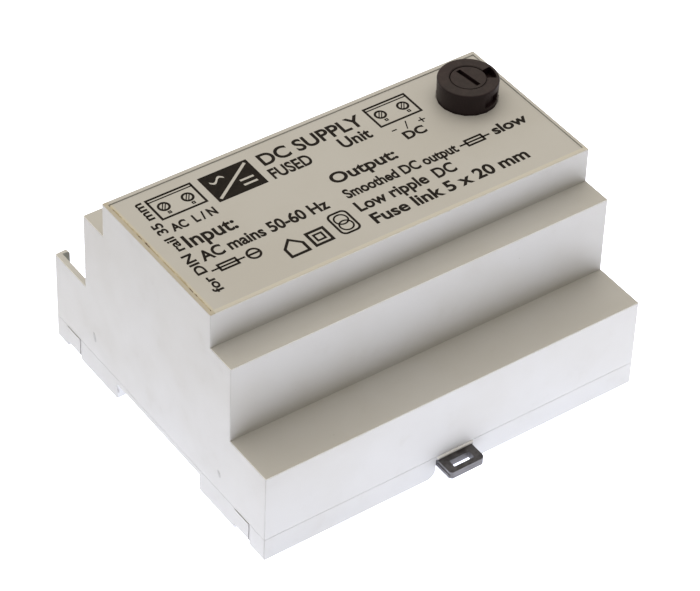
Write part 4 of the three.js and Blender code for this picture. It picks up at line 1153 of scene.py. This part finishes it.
def coil(node, inner_half, corner, ridges=0, depth=0.0):
    """A wound ring with its axis along Y, its outside smooth or with ridges of some depth."""
    low, high = box_mm(node)
    middle = (low + high) / 2
    half_x, half_z = (high.x - low.x) / 2, (high.z - low.z) / 2
    count = max(1, 4 * ridges)
    loops = []
    for i in range(count + 1):
        y = low.y + (high.y - low.y) * i / count
        sink = depth * (1 - abs(math.sin(math.pi * i / 4)))
        outline = rounded_outline(middle.x, middle.z, half_x - sink, half_z - sink, corner - sink)
        loops.append([(u, y, v) for u, v in outline])
    inner = rounded_outline(middle.x, middle.z, *inner_half)
    loops += [[(u, y, v) for u, v in inner] for y in (high.y, low.y)]
    piece(skin(loops, capped=False), node, 40)


def build_transformer():
    for node in ("core_e_stack", "core_i_stack"):
        refined(node, 0.15, 1, 3.0)
    refined("bobbin", 0.2, 2, 1.5)
    for side in ("primary", "secondary"):
        coil(f"{side}_winding", (12.6, 13.1, 0.2), 5.0, 30, 0.12)
        low, high = box_mm(f"{side}_tape")
        wall = 0.6
        inner = ((high.x - low.x) / 2 - wall, (high.z - low.z) / 2 - wall, 4.6)
        coil(f"{side}_tape", inner, 5.0)
    each("core_bolt_", build_screw, 2.6, 1.95, 1.0, 0.8, 0.45)
    build_cutout()


def build_cutout():
    low, high = box_mm("thermal_cutout")
    middle = (low + high) / 2
    radius, wire, tail = (high.z - low.z) / 2, 0.4, 2.5
    start, end = low.x, high.x
    profile = [(0, start), (wire, start), (wire, start + tail), (radius - 0.6, start + tail + 0.1)]
    profile += [(radius, start + tail + 0.7), (radius, end - tail - 1.4), (radius - 0.25, end - tail - 1.2)]
    profile += [(radius - 0.25, end - tail - 0.6), (radius - 0.9, end - tail - 0.1), (wire, end - tail)]
    profile += [(wire, end), (0, end)]
    bm = lathe(profile, 48)
    for corner in bm.verts:
        x, y, z = corner.co
        corner.co = Vector((z, middle.y * MM + y, middle.z * MM + x))
    piece(bm, "thermal_cutout")


def build_lead(node):
    """The CAD lead's tube, made smooth."""
    bm = bmesh.new()
    bm.from_mesh(NODES[node].data)
    bmesh.ops.remove_doubles(bm, verts=bm.verts, dist=SAME_PLACE)
    bmesh.ops.join_triangles(bm, faces=bm.faces, angle_face_threshold=0.6, angle_shape_threshold=1.2)
    rounder = piece(bm, node).modifiers.new("rounder", "SUBSURF")
    rounder.levels = 2
    rounder.render_levels = 2


# ---- stage, light and camera

CAMERA = {
    "target": (-0.0019, -0.00464, 0.01988),
    "azimuth": -36.45,
    "elevation": 41.9,
    "roll": 2.11,
    "distance": 0.6792,
}
CAMERA_LENS = 148.5
WARM_WHITE = (1.0, 0.925, 0.785)


def aim(obj, target, azimuth, elevation, distance, roll=0.0):
    """Points a camera or light at the target. At azimuth 0 it looks along +Y."""
    tip, swing, twist = (math.radians(angle) for angle in (90 - elevation, azimuth, roll))
    turn = Euler((tip, 0.0, swing)).to_matrix() @ Matrix.Rotation(twist, 3, "Z")
    obj.matrix_world = Matrix.LocRotScale(Vector(target) + turn.col[2] * distance, turn, None)


def build_camera():
    data = bpy.data.cameras.new("camera")
    data.lens = CAMERA_LENS
    data.sensor_width = 36.0
    data.clip_start = 0.01
    camera = new_object("camera", data)
    aim(camera, **CAMERA)
    bpy.context.scene.camera = camera


def build_floor():
    bm = bmesh.new()
    bmesh.ops.create_grid(bm, x_segments=8, y_segments=8, size=2.0)
    floor = new_object("floor", mesh_from(bm, "floor"))
    floor.location.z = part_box("base_tray")[0].z
    floor.data.materials.append(glowing_table())


LIGHTS = (
    # name, azimuth, elevation, distance, width, height, watts
    ("overhead", 150, 78, 0.9, 1.2, 1.0, 4.1),
    ("right_panel", 98, 26, 1.1, 1.2, 0.8, 0.9),
    ("rear_panel", 178, 38, 1.1, 2.8, 1.1, 4.8),
)


def build_lights():
    for name, azimuth, elevation, distance, width, height, watts in LIGHTS:
        data = bpy.data.lights.new(name, "AREA")
        data.shape = "RECTANGLE"
        data.size = width
        data.size_y = height
        data.energy = watts
        data.color = WARM_WHITE
        aim(new_object(name, data), (0, 0, 0.02), azimuth, elevation, distance)
    world = bpy.data.worlds.new("studio")
    bpy.context.scene.world = world
    world.use_nodes = True
    background = world.node_tree.nodes["Background"]
    background.inputs["Color"].default_value = (*WARM_WHITE, 1.0)
    background.inputs["Strength"].default_value = 0.33


def set_colour_management():
    view = bpy.context.scene.view_settings
    view.view_transform = "Standard"
    view.look = "None"
    view.exposure = 0.0


build_camera()
paint_cad_nodes()
build_housing()
build_label()
build_latch()
build_fuse_holder()
build_terminals()
build_board()
build_transformer()
each("lead_", build_lead)
build_floor()
build_lights()
set_colour_management()
